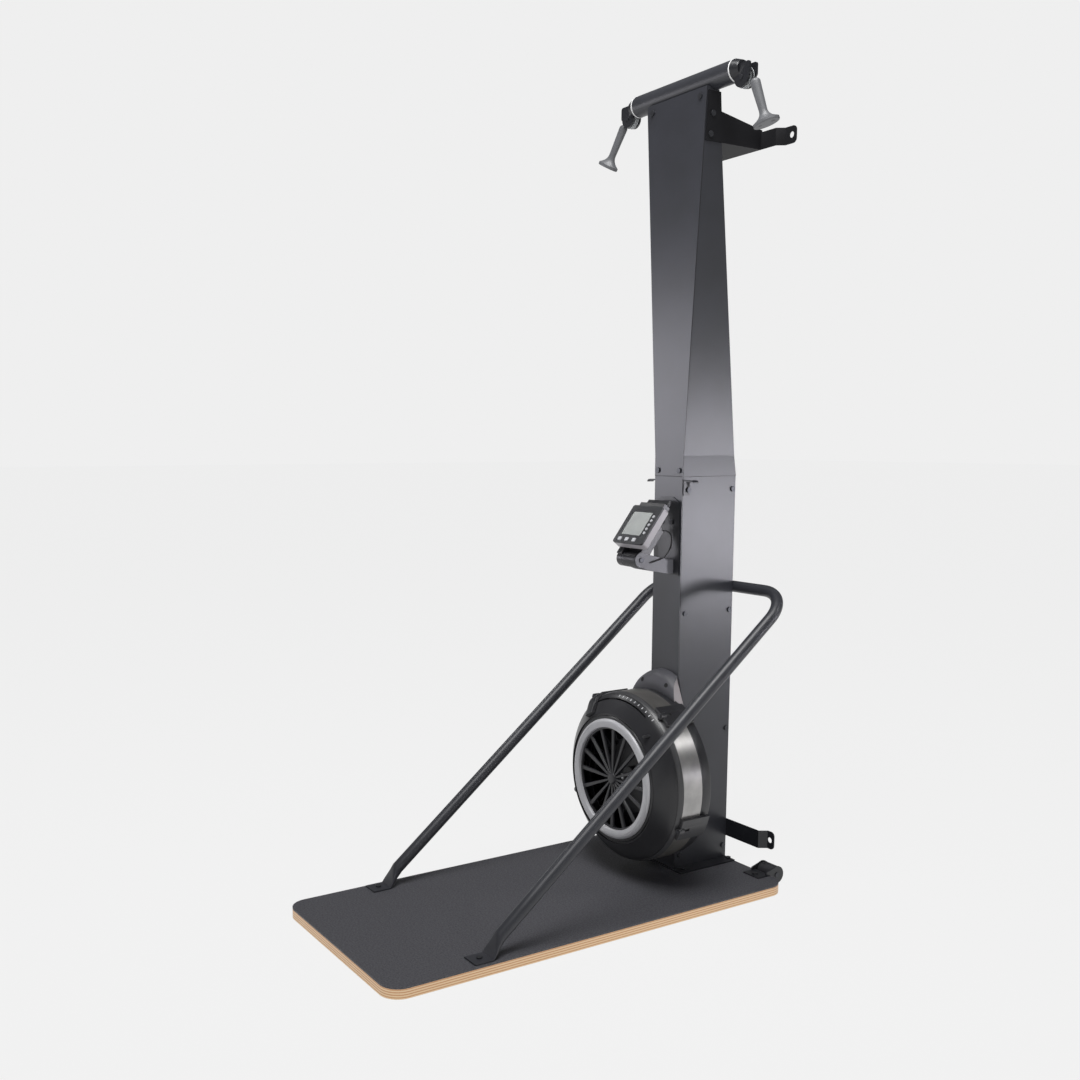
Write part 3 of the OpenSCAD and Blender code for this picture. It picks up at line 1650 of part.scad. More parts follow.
module lower_wall_bracket() {
  color(powder_black)
    difference() {
      union() {
        box([-lower_ear_in_x + 1, column_rear, lower_bracket_z],
          [lower_ear_in_x - 1, lower_rear, lower_bracket_z + lower_bracket_h]);
        both_sides()
          wall_ear(lower_ear_in_x - 20, lower_rear, lower_step, lower_ear_in_x,
            wall_hole_x, lower_bracket_z, lower_bracket_h);
      }
      rear_bores();
    }
}

// Transport rollers

module wheel_forks() {
  plate_in = roller_x - gap - fork_cheek_t;
  plate_out = roller_x + roller_w + gap + fork_cheek_t;
  color(powder_black)
    both_sides()
      difference() {
        union() {
          box([plate_in, platform_rear - fork_plate_l, deck_z],
            [plate_out, platform_rear - 2, deck_z + fork_plate_t]);
          for (x = [plate_in, plate_out - fork_cheek_t])
            extrude_x(x, x + fork_cheek_t) {
              translate([roller_y, roller_z])
                circle(r = fork_cheek_r);
              polygon([
                [platform_rear - 16, deck_z], [platform_rear + gap, deck_z],
                [roller_y - 8, roller_z - 12], [roller_y, roller_z + fork_cheek_r - 0.4],
                [roller_y - 10, roller_z + fork_cheek_r - 2.6],
                [platform_rear - 16, deck_z + fork_plate_t + 8]]);
            }
        }
        rod_x(roller_y, roller_z, pin_d / 2, plate_in - 1, plate_out + 1);
        translate([roller_x + roller_w / 2, roller_screw_y(), deck_z - 1])
          cylinder(r = bolt_r + bolt_gap, h = 20);
        // Keeps the cheeks clear of the board's rear edge
        box([plate_in - 1, platform_rear - 60, deck_z - 60],
          [plate_out + 1, platform_rear + gap, deck_z]);
      }
}

module roller_solid() {
  translate([roller_x, roller_y, roller_z])
    rotate([0, 90, 0])
      difference() {
        cylinder(r = roller_r, h = roller_w);
        translate([0, 0, -1])
          cylinder(r = pin_d / 2 + running_gap, h = roller_w + 2);
      }
}

module right_transport_roller() {
  color(rubber_black)
    roller_solid();
}

module left_transport_roller() {
  color(rubber_black)
    mirror([1, 0, 0])
      roller_solid();
}

// Bolts, screws and pins, each a separate solid

module pin_y(x, z, y0, y1) {
  rod_y(x, z, pin_d / 2, y0, y1);
  rod_y(x, z, pin_d / 2 + 2, y0 - pin_head_t, y0);
  rod_y(x, z, pin_d / 2 + 2, y1, y1 + pin_head_t);
}

module side_bolt(y, z, shank) {
  translate([column_hw, y, z])
    rotate([0, 90, 0])
      bolt(shank);
}

module bolts_and_pins() {
  fork_y = fork_half + cheek_t;
  carrier_y = carrier_cheek_in + carrier_cheek_t;
  shank = sheet_t + gap + panel_t + gap + foot_t + 1;
  head_x = roller_x + roller_w + gap + fork_cheek_t;
  color("#4a4c50")
    both_sides() {
      // Column foot, handrail feet and roller forks on the platform
      for (y = foot_bolt_ys)
        translate([foot_bolt_x, y, foot_top])
          bolt(foot_top - 3);
      translate([rail_x, rail_foot_y, deck_z + rail_foot_t])
        bolt(deck_z + rail_foot_t - 3);
      translate([roller_x + roller_w / 2, roller_screw_y(), deck_z + fork_plate_t])
        bolt(deck_z + fork_plate_t - 3);
      // Rows on the lower column's sides
      for (z = [foot_bolt_z, rail_bolt_z])
        side_bolt(side_bolt_front_y, z, shank);
      translate([2.5, 0, 0])
        side_bolt(side_bolt_front_y, top_bolt_z, shank);
      for (z = [foot_bolt_z, mid_bolt_z, rail_bolt_z, top_bolt_z])
        side_bolt(side_bolt_rear_y, z, shank);
      // Upper front panel
      for (p = [[panel_low_x, panel_low_z], [panel_high_x, panel_high_z]])
        translate([p[0], column_front, p[1]])
          rotate([90, 0, 0])
            bolt(panel_t + gap + panel_t + 3);
      // Upper wall bracket on the column's sides
      for (b = upper_side_bolts)
        on_flare()
          translate([gap + bracket_t, b[0], upper_plate_low_s + b[1]])
            rotate([0, 90, 0])
              bolt(bracket_t + gap + sheet_t + 3);
      // Rear sheet: axle bracket above, lower wall bracket below
      for (i = [0 : 3])
        translate([rear_bolt_x, i < 2 ? column_rear : lower_rear, rear_bolt_zs[i]])
          rotate([-90, 0, 0])
            bolt(i < 2 ? sheet_t + gap + bracket_wall : bracket_t + sheet_t);
      // Fan casing on its standoffs
      for (z = [-standoff_xz, standoff_xz])
        translate([standoff_xz, fan_rear_y - shell_t, fan_z + z])
          rotate([90, 0, 0])
            bolt(shell_t + fan_standoff + panel_t + gap + bracket_wall);
      // Clamp screws of the casing
      for (a = [clamp_angles[0], clamp_angles[2]])
        translate([clamp_boss_at * cos(a), clamp_front_y, fan_z + clamp_boss_at * sin(a)])
          rotate([90, 0, 0])
            scale(0.75)
              bolt(30);
      // Pins of the pulleys and of the transport rollers
      translate([0, crossbar_y, 0]) {
        pin_y(end_pulley_x, end_pulley_z, -fork_y, fork_y);
        pin_y(redirect_x, redirect_z, -carrier_y, carrier_y);
      }
      rod_x(roller_y, roller_z, pin_d / 2, roller_x - gap - fork_cheek_t, head_x);
      rod_x(roller_y, roller_z, bolt_head_r, head_x, head_x + 2);
      translate([plate_bolt_x, column_front - plate_t, plate_bolt_z])
        rotate([90, 0, 0])
          bolt(plate_t);
    }
  // Tilt pin of the monitor
  color("#4a4c50") {
    rod_x(pivot_y, pivot_z, pin_d / 2, -clamp_x - 1, arm_x + arm_t);
    rod_x(pivot_y, pivot_z, bolt_head_r, -clamp_x - 4, -clamp_x - gap);
    rod_x(pivot_y, pivot_z, bolt_head_r, arm_x + arm_t, arm_x + arm_t + 3);
  }
}

platform_board();
platform_mat();
column_foot();
lower_column();
lower_front_cover();
upper_column();
upper_front_cover();
accessory_hooks();
crossbar_tube();
crossbar_rings();
pulley_forks();
left_end_pulley();
right_end_pulley();
left_top_pulley();
right_top_pulley();
top_pulley_carrier();
bolts_and_pins();
drive_cords();
left_cord_lead();
right_cord_lead();
left_handle();
right_handle();
left_cord_drum();
right_cord_drum();
return_bungees();
flywheel();
flywheel_axle();
drum_clutches();
axle_bearings();
axle_bracket();
fan_rear_shell();
fan_front_shell();
fan_band();
fan_trim_ring();
fan_grill();
damper_lever();
clamp_blocks();
neck_cover();
monitor_bracket();
monitor_case();
monitor_back();
monitor_screen();
round_button(0);  // round_button_1
round_button(1);  // round_button_2
round_button(2);  // round_button_3
round_button(3);  // round_button_4
round_button(4);  // round_button_5
square_button(0);  // square_button_1
square_button(1);  // square_button_2
square_button(2);  // square_button_3
phone_cradle();
monitor_cable();
left_handrail_leg();
right_handrail_leg();
handrail_rear_bar();
upper_wall_bracket();
lower_wall_bracket();
wheel_forks();
left_transport_roller();
right_transport_roller();
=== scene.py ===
"""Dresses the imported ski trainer: finishes, smooth shells, small parts, studio and camera."""

import json
import logging
from dataclasses import dataclass
from enum import Enum
from math import atan, copysign, cos, hypot, pi, radians, sin, tan
from typing import Callable, Sequence

import bmesh
import bpy
from mathutils import Matrix, Vector

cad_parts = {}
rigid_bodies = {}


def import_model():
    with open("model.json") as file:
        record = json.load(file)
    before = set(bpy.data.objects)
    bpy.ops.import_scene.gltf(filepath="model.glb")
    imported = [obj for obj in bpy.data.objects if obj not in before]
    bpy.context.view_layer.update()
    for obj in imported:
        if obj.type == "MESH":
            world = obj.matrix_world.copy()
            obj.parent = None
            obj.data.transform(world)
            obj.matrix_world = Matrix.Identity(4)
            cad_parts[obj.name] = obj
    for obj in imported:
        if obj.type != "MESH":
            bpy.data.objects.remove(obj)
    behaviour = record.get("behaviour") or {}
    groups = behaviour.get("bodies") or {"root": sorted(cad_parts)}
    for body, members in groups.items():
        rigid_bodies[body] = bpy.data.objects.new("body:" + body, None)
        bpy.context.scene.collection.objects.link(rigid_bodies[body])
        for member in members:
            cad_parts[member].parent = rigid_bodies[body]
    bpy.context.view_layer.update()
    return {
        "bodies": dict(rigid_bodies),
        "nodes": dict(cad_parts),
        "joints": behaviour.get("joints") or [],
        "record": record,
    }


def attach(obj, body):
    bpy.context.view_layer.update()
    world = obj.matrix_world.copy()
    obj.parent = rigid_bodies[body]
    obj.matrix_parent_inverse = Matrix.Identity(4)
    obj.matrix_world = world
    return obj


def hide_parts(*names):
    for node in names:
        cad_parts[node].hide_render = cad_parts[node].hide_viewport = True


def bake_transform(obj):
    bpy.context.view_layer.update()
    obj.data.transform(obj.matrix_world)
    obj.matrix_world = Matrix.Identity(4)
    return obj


LOG = logging.getLogger("ski_trainer")
FRAME: dict = {}
MM = 0.001
TURN = 2 * pi
# Height of the fan's axle, and the axle's middle in metres
FAN_Z = 308.0
HUB = (0.0, 0.0, FAN_Z * MM)
# Radius of the drive cords, leads and cable
CORD_R = 2.0
# Steps round a large turned part
FINE = 288
# Ending of a piece that stands for the CAD node of the same name
DRESSED = "_dressed"
BMesh = bmesh.types.BMesh
Mesh = bpy.types.Mesh
Node = bpy.types.Node
Obj = bpy.types.Object
Socket = bpy.types.NodeSocket
Tree = bpy.types.NodeTree
Profile = Sequence[tuple[float, float]]
Point = tuple[float, float, float]


class Side(Enum):
    """The machine's two sides, as the sign of X."""

    LEFT = -1
    RIGHT = 1


class Grain(Enum):
    """How a finish's fine relief is laid."""

    PEBBLED = "pebbled"
    BRUSHED_ROUND = "brushed_round"
    SMOOTH = "smooth"


def linear(colour: str) -> tuple[float, float, float, float]:
    """Turn an sRGB hex colour into linear RGBA.

    Args:
        colour: Six hex digits after a hash sign.

    Returns:
        Linear red, green, blue and an alpha of 1.
    """
    parts = [int(colour[i : i + 2], 16) / 255 for i in (1, 3, 5)]
    return tuple(p / 12.92 if p < 0.04045 else ((p + 0.055) / 1.055) ** 2.4 for p in parts) + (1.0,)


def add(tree: Tree, kind: str, settings: dict | None = None, **links: object) -> Node:
    """Add a node, set its properties and sockets, and link what feeds it.

    Args:
        tree: The tree that gets the node.
        kind: The node's type name.
        settings: Values by input name, input index or property name.
        **links: For input 0 "i0", for input 1 "i1" and so on, the output socket that feeds it.

    Returns:
        The new node.
    """
    node = tree.nodes.new(kind)
    for key, value in (settings or {}).items():
        if isinstance(key, int) or key in node.inputs:
            node.inputs[key].default_value = value
        else:
            setattr(node, key, value)
    for key, source in links.items():
        tree.links.new(source, node.inputs[int(key[1:])])
    return node


# Finishes


@dataclass(frozen=True)
class Finish:
    """A moulded, coated or rolled surface with two close tones and a fine relief.

    colour and second are the two tones, mottle_mm the size of their patches, grain_mm and
    grain_depth_mm the relief, roughness and spread the gloss and how far it varies.
    """

    name: str
    slot: str
    colour: str
    second: str
    mottle_mm: float = 60
    grain_mm: float = 1.2
    grain_depth_mm: float = 0.05
    roughness: float = 0.45
    spread: float = 0.06
    metallic: float = 0.0
    ior: float = 1.5
    transmission: float = 0.0
    grain: Grain = Grain.PEBBLED

    def between(self, tree: Tree, amount: Socket, low: float, high: float) -> Socket:
        """Run from the first tone to the second while a value goes from low to high.

        Args:
            tree: The material's tree.
            amount: The value.
            low: Where the first tone ends.
            high: Where the second tone begins.

        Returns:
            The colour socket.
        """
        ramp = add(tree, "ShaderNodeValToRGB", i0=amount)
        first, last = ramp.color_ramp.elements
        first.position, first.color = low, linear(self.colour)
        last.position, last.color = high, linear(self.second)
        return ramp.outputs[0]

    def tones(self, tree: Tree, where: Socket) -> Socket:
        """Mix the two tones in soft patches.

        Args:
            tree: The material's tree.
            where: Object coordinates in metres.

        Returns:
            The colour socket.
        """
        patches = add(tree, "ShaderNodeTexNoise", {"Scale": 1000 / self.mottle_mm, "Detail": 4.0}, i0=where)
        return self.between(tree, patches.outputs[0], 0.35, 0.65)

    def relief(self, tree: Tree, where: Socket) -> Socket:
        """Lay the fine relief's height.

        Args:
            tree: The material's tree.
            where: Object coordinates in metres.

        Returns:
            A height socket from 0 to 1.
        """
        scale = 1000 / self.grain_mm
        if self.grain is Grain.BRUSHED_ROUND:
            wrap = add(tree, "ShaderNodeMapping", {"Scale": (0.04, 1.0, 0.04)}, i0=where)
            return add(tree, "ShaderNodeTexNoise", {"Scale": scale, "Detail": 3.0}, i0=wrap.outputs[0]).outputs[0]
        return add(tree, "ShaderNodeTexNoise", {"Scale": scale, "Detail": 2.0}, i0=where).outputs[0]

    def build(self) -> bpy.types.Material:
        """Build the node material.

        Returns:
            The material.
        """
        made = bpy.data.materials.new(self.name)
        made.use_nodes = True
        tree = made.node_tree
        tree.nodes.clear()
        where = add(tree, "ShaderNodeTexCoord").outputs["Object"]
        shader = add(tree, "ShaderNodeBsdfPrincipled", {
            "Metallic": self.metallic, "IOR": self.ior, "Transmission Weight": self.transmission})
        add(tree, "ShaderNodeOutputMaterial", i0=shader.outputs[0])
        tree.links.new(self.tones(tree, where), shader.inputs["Base Color"])
        height = self.relief(tree, where)
        gloss = add(tree, "ShaderNodeMapRange", {
            "To Min": self.roughness - self.spread, "To Max": self.roughness + self.spread}, i0=height)
        tree.links.new(gloss.outputs[0], shader.inputs["Roughness"])
        if self.grain is not Grain.SMOOTH:
            bump = add(tree, "ShaderNodeBump", {"Strength": 0.6, "Distance": self.grain_depth_mm * MM}, i2=height)
            tree.links.new(bump.outputs[0], shader.inputs["Normal"])
        return made


@dataclass(frozen=True)
class Plywood(Finish):
    """Clear-lacquered birch plywood: cross plies show as thin light and dark bands on its edge."""

    ply_mm: float = 3.0

    def tones(self, tree: Tree, where: Socket) -> Socket:
        """Band the edge by height and streak it along the ply.

        Args:
            tree: The material's tree.
            where: Object coordinates in metres.

        Returns:
            The colour socket.
        """
        split = add(tree, "ShaderNodeSeparateXYZ", i0=where)
        waver = add(tree, "ShaderNodeTexNoise", {"Scale": 28.0, "Detail": 2.0}, i0=where)
        drift = add(tree, "ShaderNodeMath", {"operation": "MULTIPLY_ADD", 1: 0.0006},
                    i0=waver.outputs[0], i2=split.outputs[2])
        phase = add(tree, "ShaderNodeMath", {"operation": "MULTIPLY", 1: pi * 1000 / self.ply_mm},
                    i0=drift.outputs[0])
        wave = add(tree, "ShaderNodeMath", {"operation": "SINE"}, i0=phase.outputs[0])
        band = add(tree, "ShaderNodeMapRange", {"From Min": -0.5, "From Max": 0.5}, i0=wave.outputs[0])
        stretch = add(tree, "ShaderNodeMapping", {"Scale": (1.0, 1.0, 14.0)}, i0=where)
        streak = add(tree, "ShaderNodeTexNoise", {"Scale": 160.0, "Detail": 4.0}, i0=stretch.outputs[0])
        mix = add(tree, "ShaderNodeMath", {"operation": "MULTIPLY_ADD", 1: 0.7}, i0=streak.outputs[0],
                  i2=band.outputs[0])
        return self.between(tree, mix.outputs[0], 0.3, 1.0)


@dataclass(frozen=True)
class Braid(Finish):
    """Braided polyester sheath: two sets of strands cross as small diamonds along the cord's UV."""

    strand_mm: float = 1.1

    def relief(self, tree: Tree, where: Socket) -> Socket:
        """Cross two waves on the cord's own UV map, in millimetres.

        Args:
            tree: The material's tree.
            where: Object coordinates, not used by the braid.

        Returns:
            A height socket from 0 to 1.
        """
        own = add(tree, "ShaderNodeUVMap", {"uv_map": "along"})
        split = add(tree, "ShaderNodeSeparateXYZ", i0=own.outputs[0])
        waves = []
        for sign in (1, -1):
            lean = add(tree, "ShaderNodeMath", {"operation": "MULTIPLY_ADD", 1: float(sign)},
                       i0=split.outputs[0], i2=split.outputs[1])
            turn = add(tree, "ShaderNodeMath", {"operation": "MULTIPLY", 1: pi / self.strand_mm},
                       i0=lean.outputs[0])
            waves.append(add(tree, "ShaderNodeMath", {"operation": "SINE"}, i0=turn.outputs[0]))
        cross = add(tree, "ShaderNodeMath", {"operation": "MULTIPLY"}, i0=waves[0].outputs[0], i1=waves[1].outputs[0])
        return add(tree, "ShaderNodeMapRange", {"From Min": -1.0}, i0=cross.outputs[0]).outputs[0]


# Textured powder coat on sheet steel: satin, a fine orange-peel grain, near black
COAT = Finish("powder_coated_steel", "black_coat", "#323338", "#36373d", 120, 1.6, 0.03, 0.32, 0.05)
# The same coat on the small bent brackets and hooks, in a darker copy: painted shade, as they look darker for their
# smaller faces
COAT_PAINTED_SHADE = Finish("powder_coated_brackets", "black_coat", "#1f2024", "#242529", 60, 1.4, 0.04, 0.34, 0.05)
# The top bracket: a dry, rougher coat that hardly mirrors the pale floor below it, in a darker copy of the coat:
# painted shade for its underside
COAT_SHADE = Finish("powder_coated_dry", "black_coat", "#17171a", "#1b1b1e", 60, 1.4, 0.02, 0.62, 0.03, ior=1.3)
# The folded neck cover: a duller coat, with its tone lifted as painted light for the light that falls on it from
# above
COAT_DULL_PAINTED_LIGHT = Finish("powder_coated_dull", "black_coat", "#4c4c51", "#525257", 80, 1.6, 0.02, 0.5, 0.04)
# The neck cover's flat side wings: a pale grey copy of the coat, painted light for the strong side light on them
COAT_PALE_PAINTED_LIGHT = Finish("powder_coated_pale", "black_coat", "#a09a9c", "#a7a1a3", 80, 1.6, 0.02, 0.45, 0.04)
# The rail's tube: the same coat, rolled out smoother by the bending
COAT_TUBE = Finish("powder_coated_tube", "black_coat", "#303136", "#35363b", 90, 3.5, 0.004, 0.4, 0.02,
                   grain=Grain.SMOOTH)
# Light grey powder coat on the monitor's arm
COAT_GREY = Finish("grey_powder_coat", "grey_coat", "#69696f", "#707075", 60, 1.4, 0.04, 0.4, 0.06)
# Natural rubber sheet: matte with a pebbled grain drawn coarser than real so that it shows
MAT = Finish("pebbled_rubber_sheet", "mat_rubber", "#39393d", "#57575c", 4, 6.5, 1.7, 0.5, 0.1)
# Birch plywood, sanded and lacquered: warm pale bands with a soft sheen
PLY = Plywood("birch_plywood_lacquered", "plywood", "#da9c6c", "#fbdcb2", 60, 2.5, 0.03, 0.42, 0.05)
# Glass-filled ABS shells: even satin black with a spark-eroded texture
SHELL = Finish("abs_textured_black", "black_plastic", "#232326", "#29292c", 80, 1.0, 0.03, 0.33, 0.05)
# The shell's side wall and the clamp blocks but their tops: a paler satin copy of the same plastic, painted light for
# the light that falls on them
SHELL_PAINTED_LIGHT = Finish("abs_satin_charcoal", "black_plastic", "#3b3b3d", "#414143", 80, 1.0, 0.02, 0.34, 0.05)
# Same plastic in the deep ribs, where the gaps stay darker
RIBS = Finish("abs_ribs_charcoal", "black_plastic", "#232326", "#29292d", 50, 1.0, 0.04, 0.42, 0.06)
# Soft-touch polypropylene of the handles: mid grey, slightly waxy
GRIP = Finish("polypropylene_grey", "handle_plastic", "#5f6063", "#656669", 40, 1.6, 0.008, 0.4, 0.04)
# White acetal rings: dense, clean, faintly glossy
ACETAL = Finish("acetal_white", "white_plastic", "#e6e6e6", "#ebebeb", 40, 1.2, 0.02, 0.35, 0.04)
# Polycarbonate pulleys: clear with a smoky core
CLEAR = Finish("polycarbonate_clear", "pulley_plastic", "#dfe3e6", "#e8ebed", 30, 1.0, 0.02, 0.16, 0.04,
               ior=1.58, transmission=0.65, grain=Grain.SMOOTH)
# Silver-pigmented ABS trim ring: flat bright face, soft gloss
SILVER = Finish("abs_silver_pigment", "ring_plastic", "#b2b2b6", "#bababd", 60, 0.8, 0.02, 0.34, 0.05, metallic=0.1)
# Bright aluminium strip, brushed round the fan
BAND = Finish("aluminium_brushed", "band_metal", "#9b9a99", "#b0aead", 45, 0.5, 0.015, 0.3, 0.05, metallic=0.85,
              grain=Grain.BRUSHED_ROUND)
# The rest of the strip: the same metal left dark and dull
BAND_DULL = Finish("aluminium_dull_grey", "band_metal", "#72706e", "#7c7a77", 45, 0.5, 0.02, 0.4, 0.06, metallic=0.7,
                   grain=Grain.BRUSHED_ROUND)
# Ground steel shafts and drums
STEEL = Finish("steel_ground", "bare_steel", "#a9aaac", "#b4b5b7", 30, 0.6, 0.02, 0.3, 0.05, metallic=1.0)
# Black zinc bolts: dark and slightly metallic
ZINC = Finish("steel_black_zinc", "bolt_steel", "#3a3b3f", "#46474b", 12, 0.7, 0.03, 0.36, 0.06, metallic=0.6)
# Painted steel flywheel behind the ribs
WHEEL = Finish("steel_painted_wheel", "wheel_steel", "#2e2e32", "#37373b", 60, 1.2, 0.04, 0.42, 0.06)
# Braided polyester cord: black, with small diamonds that break up its gloss
CORD = Braid("polyester_braid_cord", "cord", "#202023", "#2a2a2e", 20, 1.0, 0.25, 0.6, 0.08)
# Woven sheath of the elastic cords: matte black
BUNGEE = Finish("elastic_braid", "elastic", "#232327", "#2c2c31", 20, 1.2, 0.25, 0.65, 0.08)
# Fine-textured ABS monitor shell, dark grey, with silver-grey flanks
CASE = Finish("abs_dark_grey", "case_plastic", "#1f2024", "#242529", 40, 0.8, 0.03, 0.42, 0.05)
# Silver-grey ABS flanks of the monitor shell, behind its dark front rim
FLANK = Finish("abs_silver_grey", "case_plastic", "#9b989c", "#a29fa3", 40, 0.8, 0.02, 0.38, 0.05)
# Dark line where two sheets meet: painted shade for the shadow in the gap, laid as a thin black bead
SHADE_BLACK = Finish("sealant_black", "black_coat", "#0c0c0e", "#111113", 20, 1.0, 0.01, 0.7, 0.05, grain=Grain.SMOOTH)
# Silicone keypad: light grey, soft sheen
KEYS = Finish("silicone_light_grey", "button_rubber", "#b4b5b9", "#bcbdc0", 12, 0.7, 0.02, 0.45, 0.05)
# Soft vinyl jacket of the monitor's cable
JACKET = Finish("vinyl_jacket", "cable", "#19191b", "#202023", 12, 0.7, 0.02, 0.4, 0.05)
# Moulded rubber rollers: matte charcoal
TYRE = Finish("rubber_roller", "roller_rubber", "#252528", "#2d2d31", 20, 1.5, 0.1, 0.6, 0.08)
# Reflective LCD behind a matte window: even grey with a green cast
GLASS = Finish("lcd_window", "screen", "#6b706e", "#727774", 50, 1.0, 0.01, 0.24, 0.03, grain=Grain.SMOOTH)
# Printed dial marks
INK = Finish("ink_pale_grey", "handle_plastic", "#b9babd", "#c2c3c6", 8, 0.6, 0.01, 0.5, 0.04, grain=Grain.SMOOTH)

_MADE: dict[str, bpy.types.Material] = {}


def material(finish: Finish) -> bpy.types.Material:
    """Give a finish's material, built once."""
    if finish.name not in _MADE:
        _MADE[finish.name] = finish.build()
    return _MADE[finish.name]


# Mesh helpers, in millimetres until they become a piece


def link(mesh: Mesh, name: str) -> Obj:
    """Make a scene object of a mesh."""
    obj = bpy.data.objects.new(name, mesh)
    bpy.context.scene.collection.objects.link(obj)
    return obj


def solid(bm: BMesh, name: str, scale: float = MM) -> Obj:
    """Turn a bmesh into an object in metres with outward normals.

    Args:
        bm: The geometry, freed here.
        name: The object's name.
        scale: Factor on every coordinate.

    Returns:
        The object.
    """
    bmesh.ops.scale(bm, vec=(scale,) * 3, verts=bm.verts)
    bmesh.ops.recalc_face_normals(bm, faces=bm.faces)
    mesh = bpy.data.meshes.new(name)
    bm.to_mesh(mesh)
    bm.free()
    return link(mesh, name)


def join(objects: list[Obj], name: str) -> Obj:
    """Join objects' meshes into one object.

    Args:
        objects: Objects at the origin, removed here.
        name: The new object's name.

    Returns:
        The new object.
    """
    bm = bmesh.new()
    for obj in objects:
        bm.from_mesh(obj.data)
    mesh = bpy.data.meshes.new(name)
    bm.to_mesh(mesh)
    bm.free()
    for obj in objects:
        bpy.data.objects.remove(obj)
    return link(mesh, name)


def smooth(obj: Obj, angle: float) -> None:
    """Shade smooth, but keep edges above an angle in degrees sharp."""
    obj.data.shade_smooth()
    obj.data.set_sharp_from_angle(angle=radians(angle))


def settle(obj: Obj) -> Obj:
    """Bake an object's modifiers into its mesh and take them off."""
    bpy.context.view_layer.update()
    graph = bpy.context.evaluated_depsgraph_get()
    mesh = bpy.data.meshes.new_from_object(obj.evaluated_get(graph), preserve_all_data_layers=True, depsgraph=graph)
    obj.modifiers.clear()
    old = obj.data
    obj.data = mesh
    bpy.data.meshes.remove(old)
    return obj


def rounded(obj: Obj, width_mm: float, angle: float = 35) -> Obj:
    """Round every edge above an angle.

    Args:
        obj: The object.
        width_mm: Bevel width.
        angle: Least edge angle in degrees.

    Returns:
        The object with the bevel in its mesh.
    """
    smooth(obj, angle)
    bevel = obj.modifiers.new("edges", "BEVEL")
    bevel.width = width_mm * MM
    bevel.segments = 2
    bevel.limit_method = "ANGLE"
    bevel.angle_limit = radians(angle)
    bevel.harden_normals = True
    return settle(obj)


def finish_piece(obj: Obj, finish: Finish, body: str, crease: float = 0) -> Obj:
    """Give a piece its shading, material and body.

    A piece whose name ends in _dressed stands for the CAD node of that name.

    Args:
        obj: The piece.
        finish: Its finish.
        crease: Edges above this angle in degrees stay sharp; 0 leaves the shading as it is.

    Returns:
        The piece.
    """
    if crease:
        smooth(obj, crease)
    obj.data.materials.clear()
    obj.data.materials.append(material(finish))
    if body:
        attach(obj, body)
    node = obj.name.removesuffix(DRESSED)
    if node != obj.name:
        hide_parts(node)
    LOG.info("%s: %s on %s", obj.name, finish.name, body or "two bodies")
    return obj


def revolve(profile: Profile, steps: int = FINE, a0: float = 0, a1: float = 360) -> BMesh:
    """Turn a closed profile of radius and Y about the fan's axle.

    Args:
        profile: Points of (radius, y), in order round the section.
        steps: Steps for a whole turn.
        a0: Start angle in degrees from +X towards +Z.
        a1: End angle in degrees.

    Returns:
        A closed solid.
    """
    whole = a1 - a0 >= 359.9
    count = max(3, round(steps * (a1 - a0) / 360))
    rings = []
    for i in range(count if whole else count + 1):
        a = radians(a0 + (a1 - a0) * i / count)
        rings.append([(r * cos(a), y, FAN_Z + r * sin(a)) for r, y in profile])
    return loft(rings, closed=whole)


def loft(rings: Sequence[Sequence[Point]], closed: bool = False) -> BMesh:
    """Skin a row of rings with the same count of points.

    Args:
        rings: The rings, from one end to the other.
        closed: Join the last ring to the first; otherwise both ends get a cap.

    Returns:
        The skin.
    """
    bm = bmesh.new()
    rows = [[bm.verts.new(p) for p in ring] for ring in rings]
    n = len(rows[0])
    for first, second in zip(rows, rows[1:] + (rows[:1] if closed else [])):
        for j in range(n):
            bm.faces.new((first[j], first[(j + 1) % n], second[(j + 1) % n], second[j]))
    if not closed:
        bm.faces.new(rows[0])
        bm.faces.new(list(reversed(rows[-1])))
    return bm


def frames(path: Sequence[Vector]) -> list[tuple[Vector, Vector, Vector]]:
    """Give each path point a tangent and two cross directions that don't twist.

    Args:
        path: The points.

    Returns:
        Tangent, first and second cross direction for each point.
    """
    out = []
    side = None
    for i, _ in enumerate(path):
        t = (path[min(i + 1, len(path) - 1)] - path[max(i - 1, 0)]).normalized()
        if side is None:
            side = t.orthogonal().normalized()
        side = (side - t * side.dot(t)).normalized()
        out.append((t, side, t.cross(side)))
    return out


def tube(path: Sequence[Point], radius: float, n: int = 16) -> BMesh:
    """Run a round tube along a path, with its length in millimetres in the UV map.

    Args:
        path: The centreline.
        radius: The tube's radius.
        n: Points round it.

    Returns:
        The tube.
    """
    points = [Vector(p) for p in path]
    rings = []
    for p, (_, u, v) in zip(points, frames(points)):
        rings.append([tuple(p + radius * (u * cos(TURN * j / n) + v * sin(TURN * j / n))) for j in range(n)])
    bm = loft(rings)
    layer = bm.loops.layers.uv.new("along")
    bm.verts.index_update()
    run = [0.0]
    for p, q in zip(points, points[1:]):
        run.append(run[-1] + (q - p).length)
    for face in bm.faces:
        columns = [v.index % n for v in face.verts]
        wraps = len(columns) == 4 and 0 in columns and n - 1 in columns
        for loop in face.loops:
            i, j = divmod(loop.vert.index, n)
            around = n if wraps and j == 0 else j
            loop[layer].uv = (around * TURN * radius / n, run[i])
    return bm


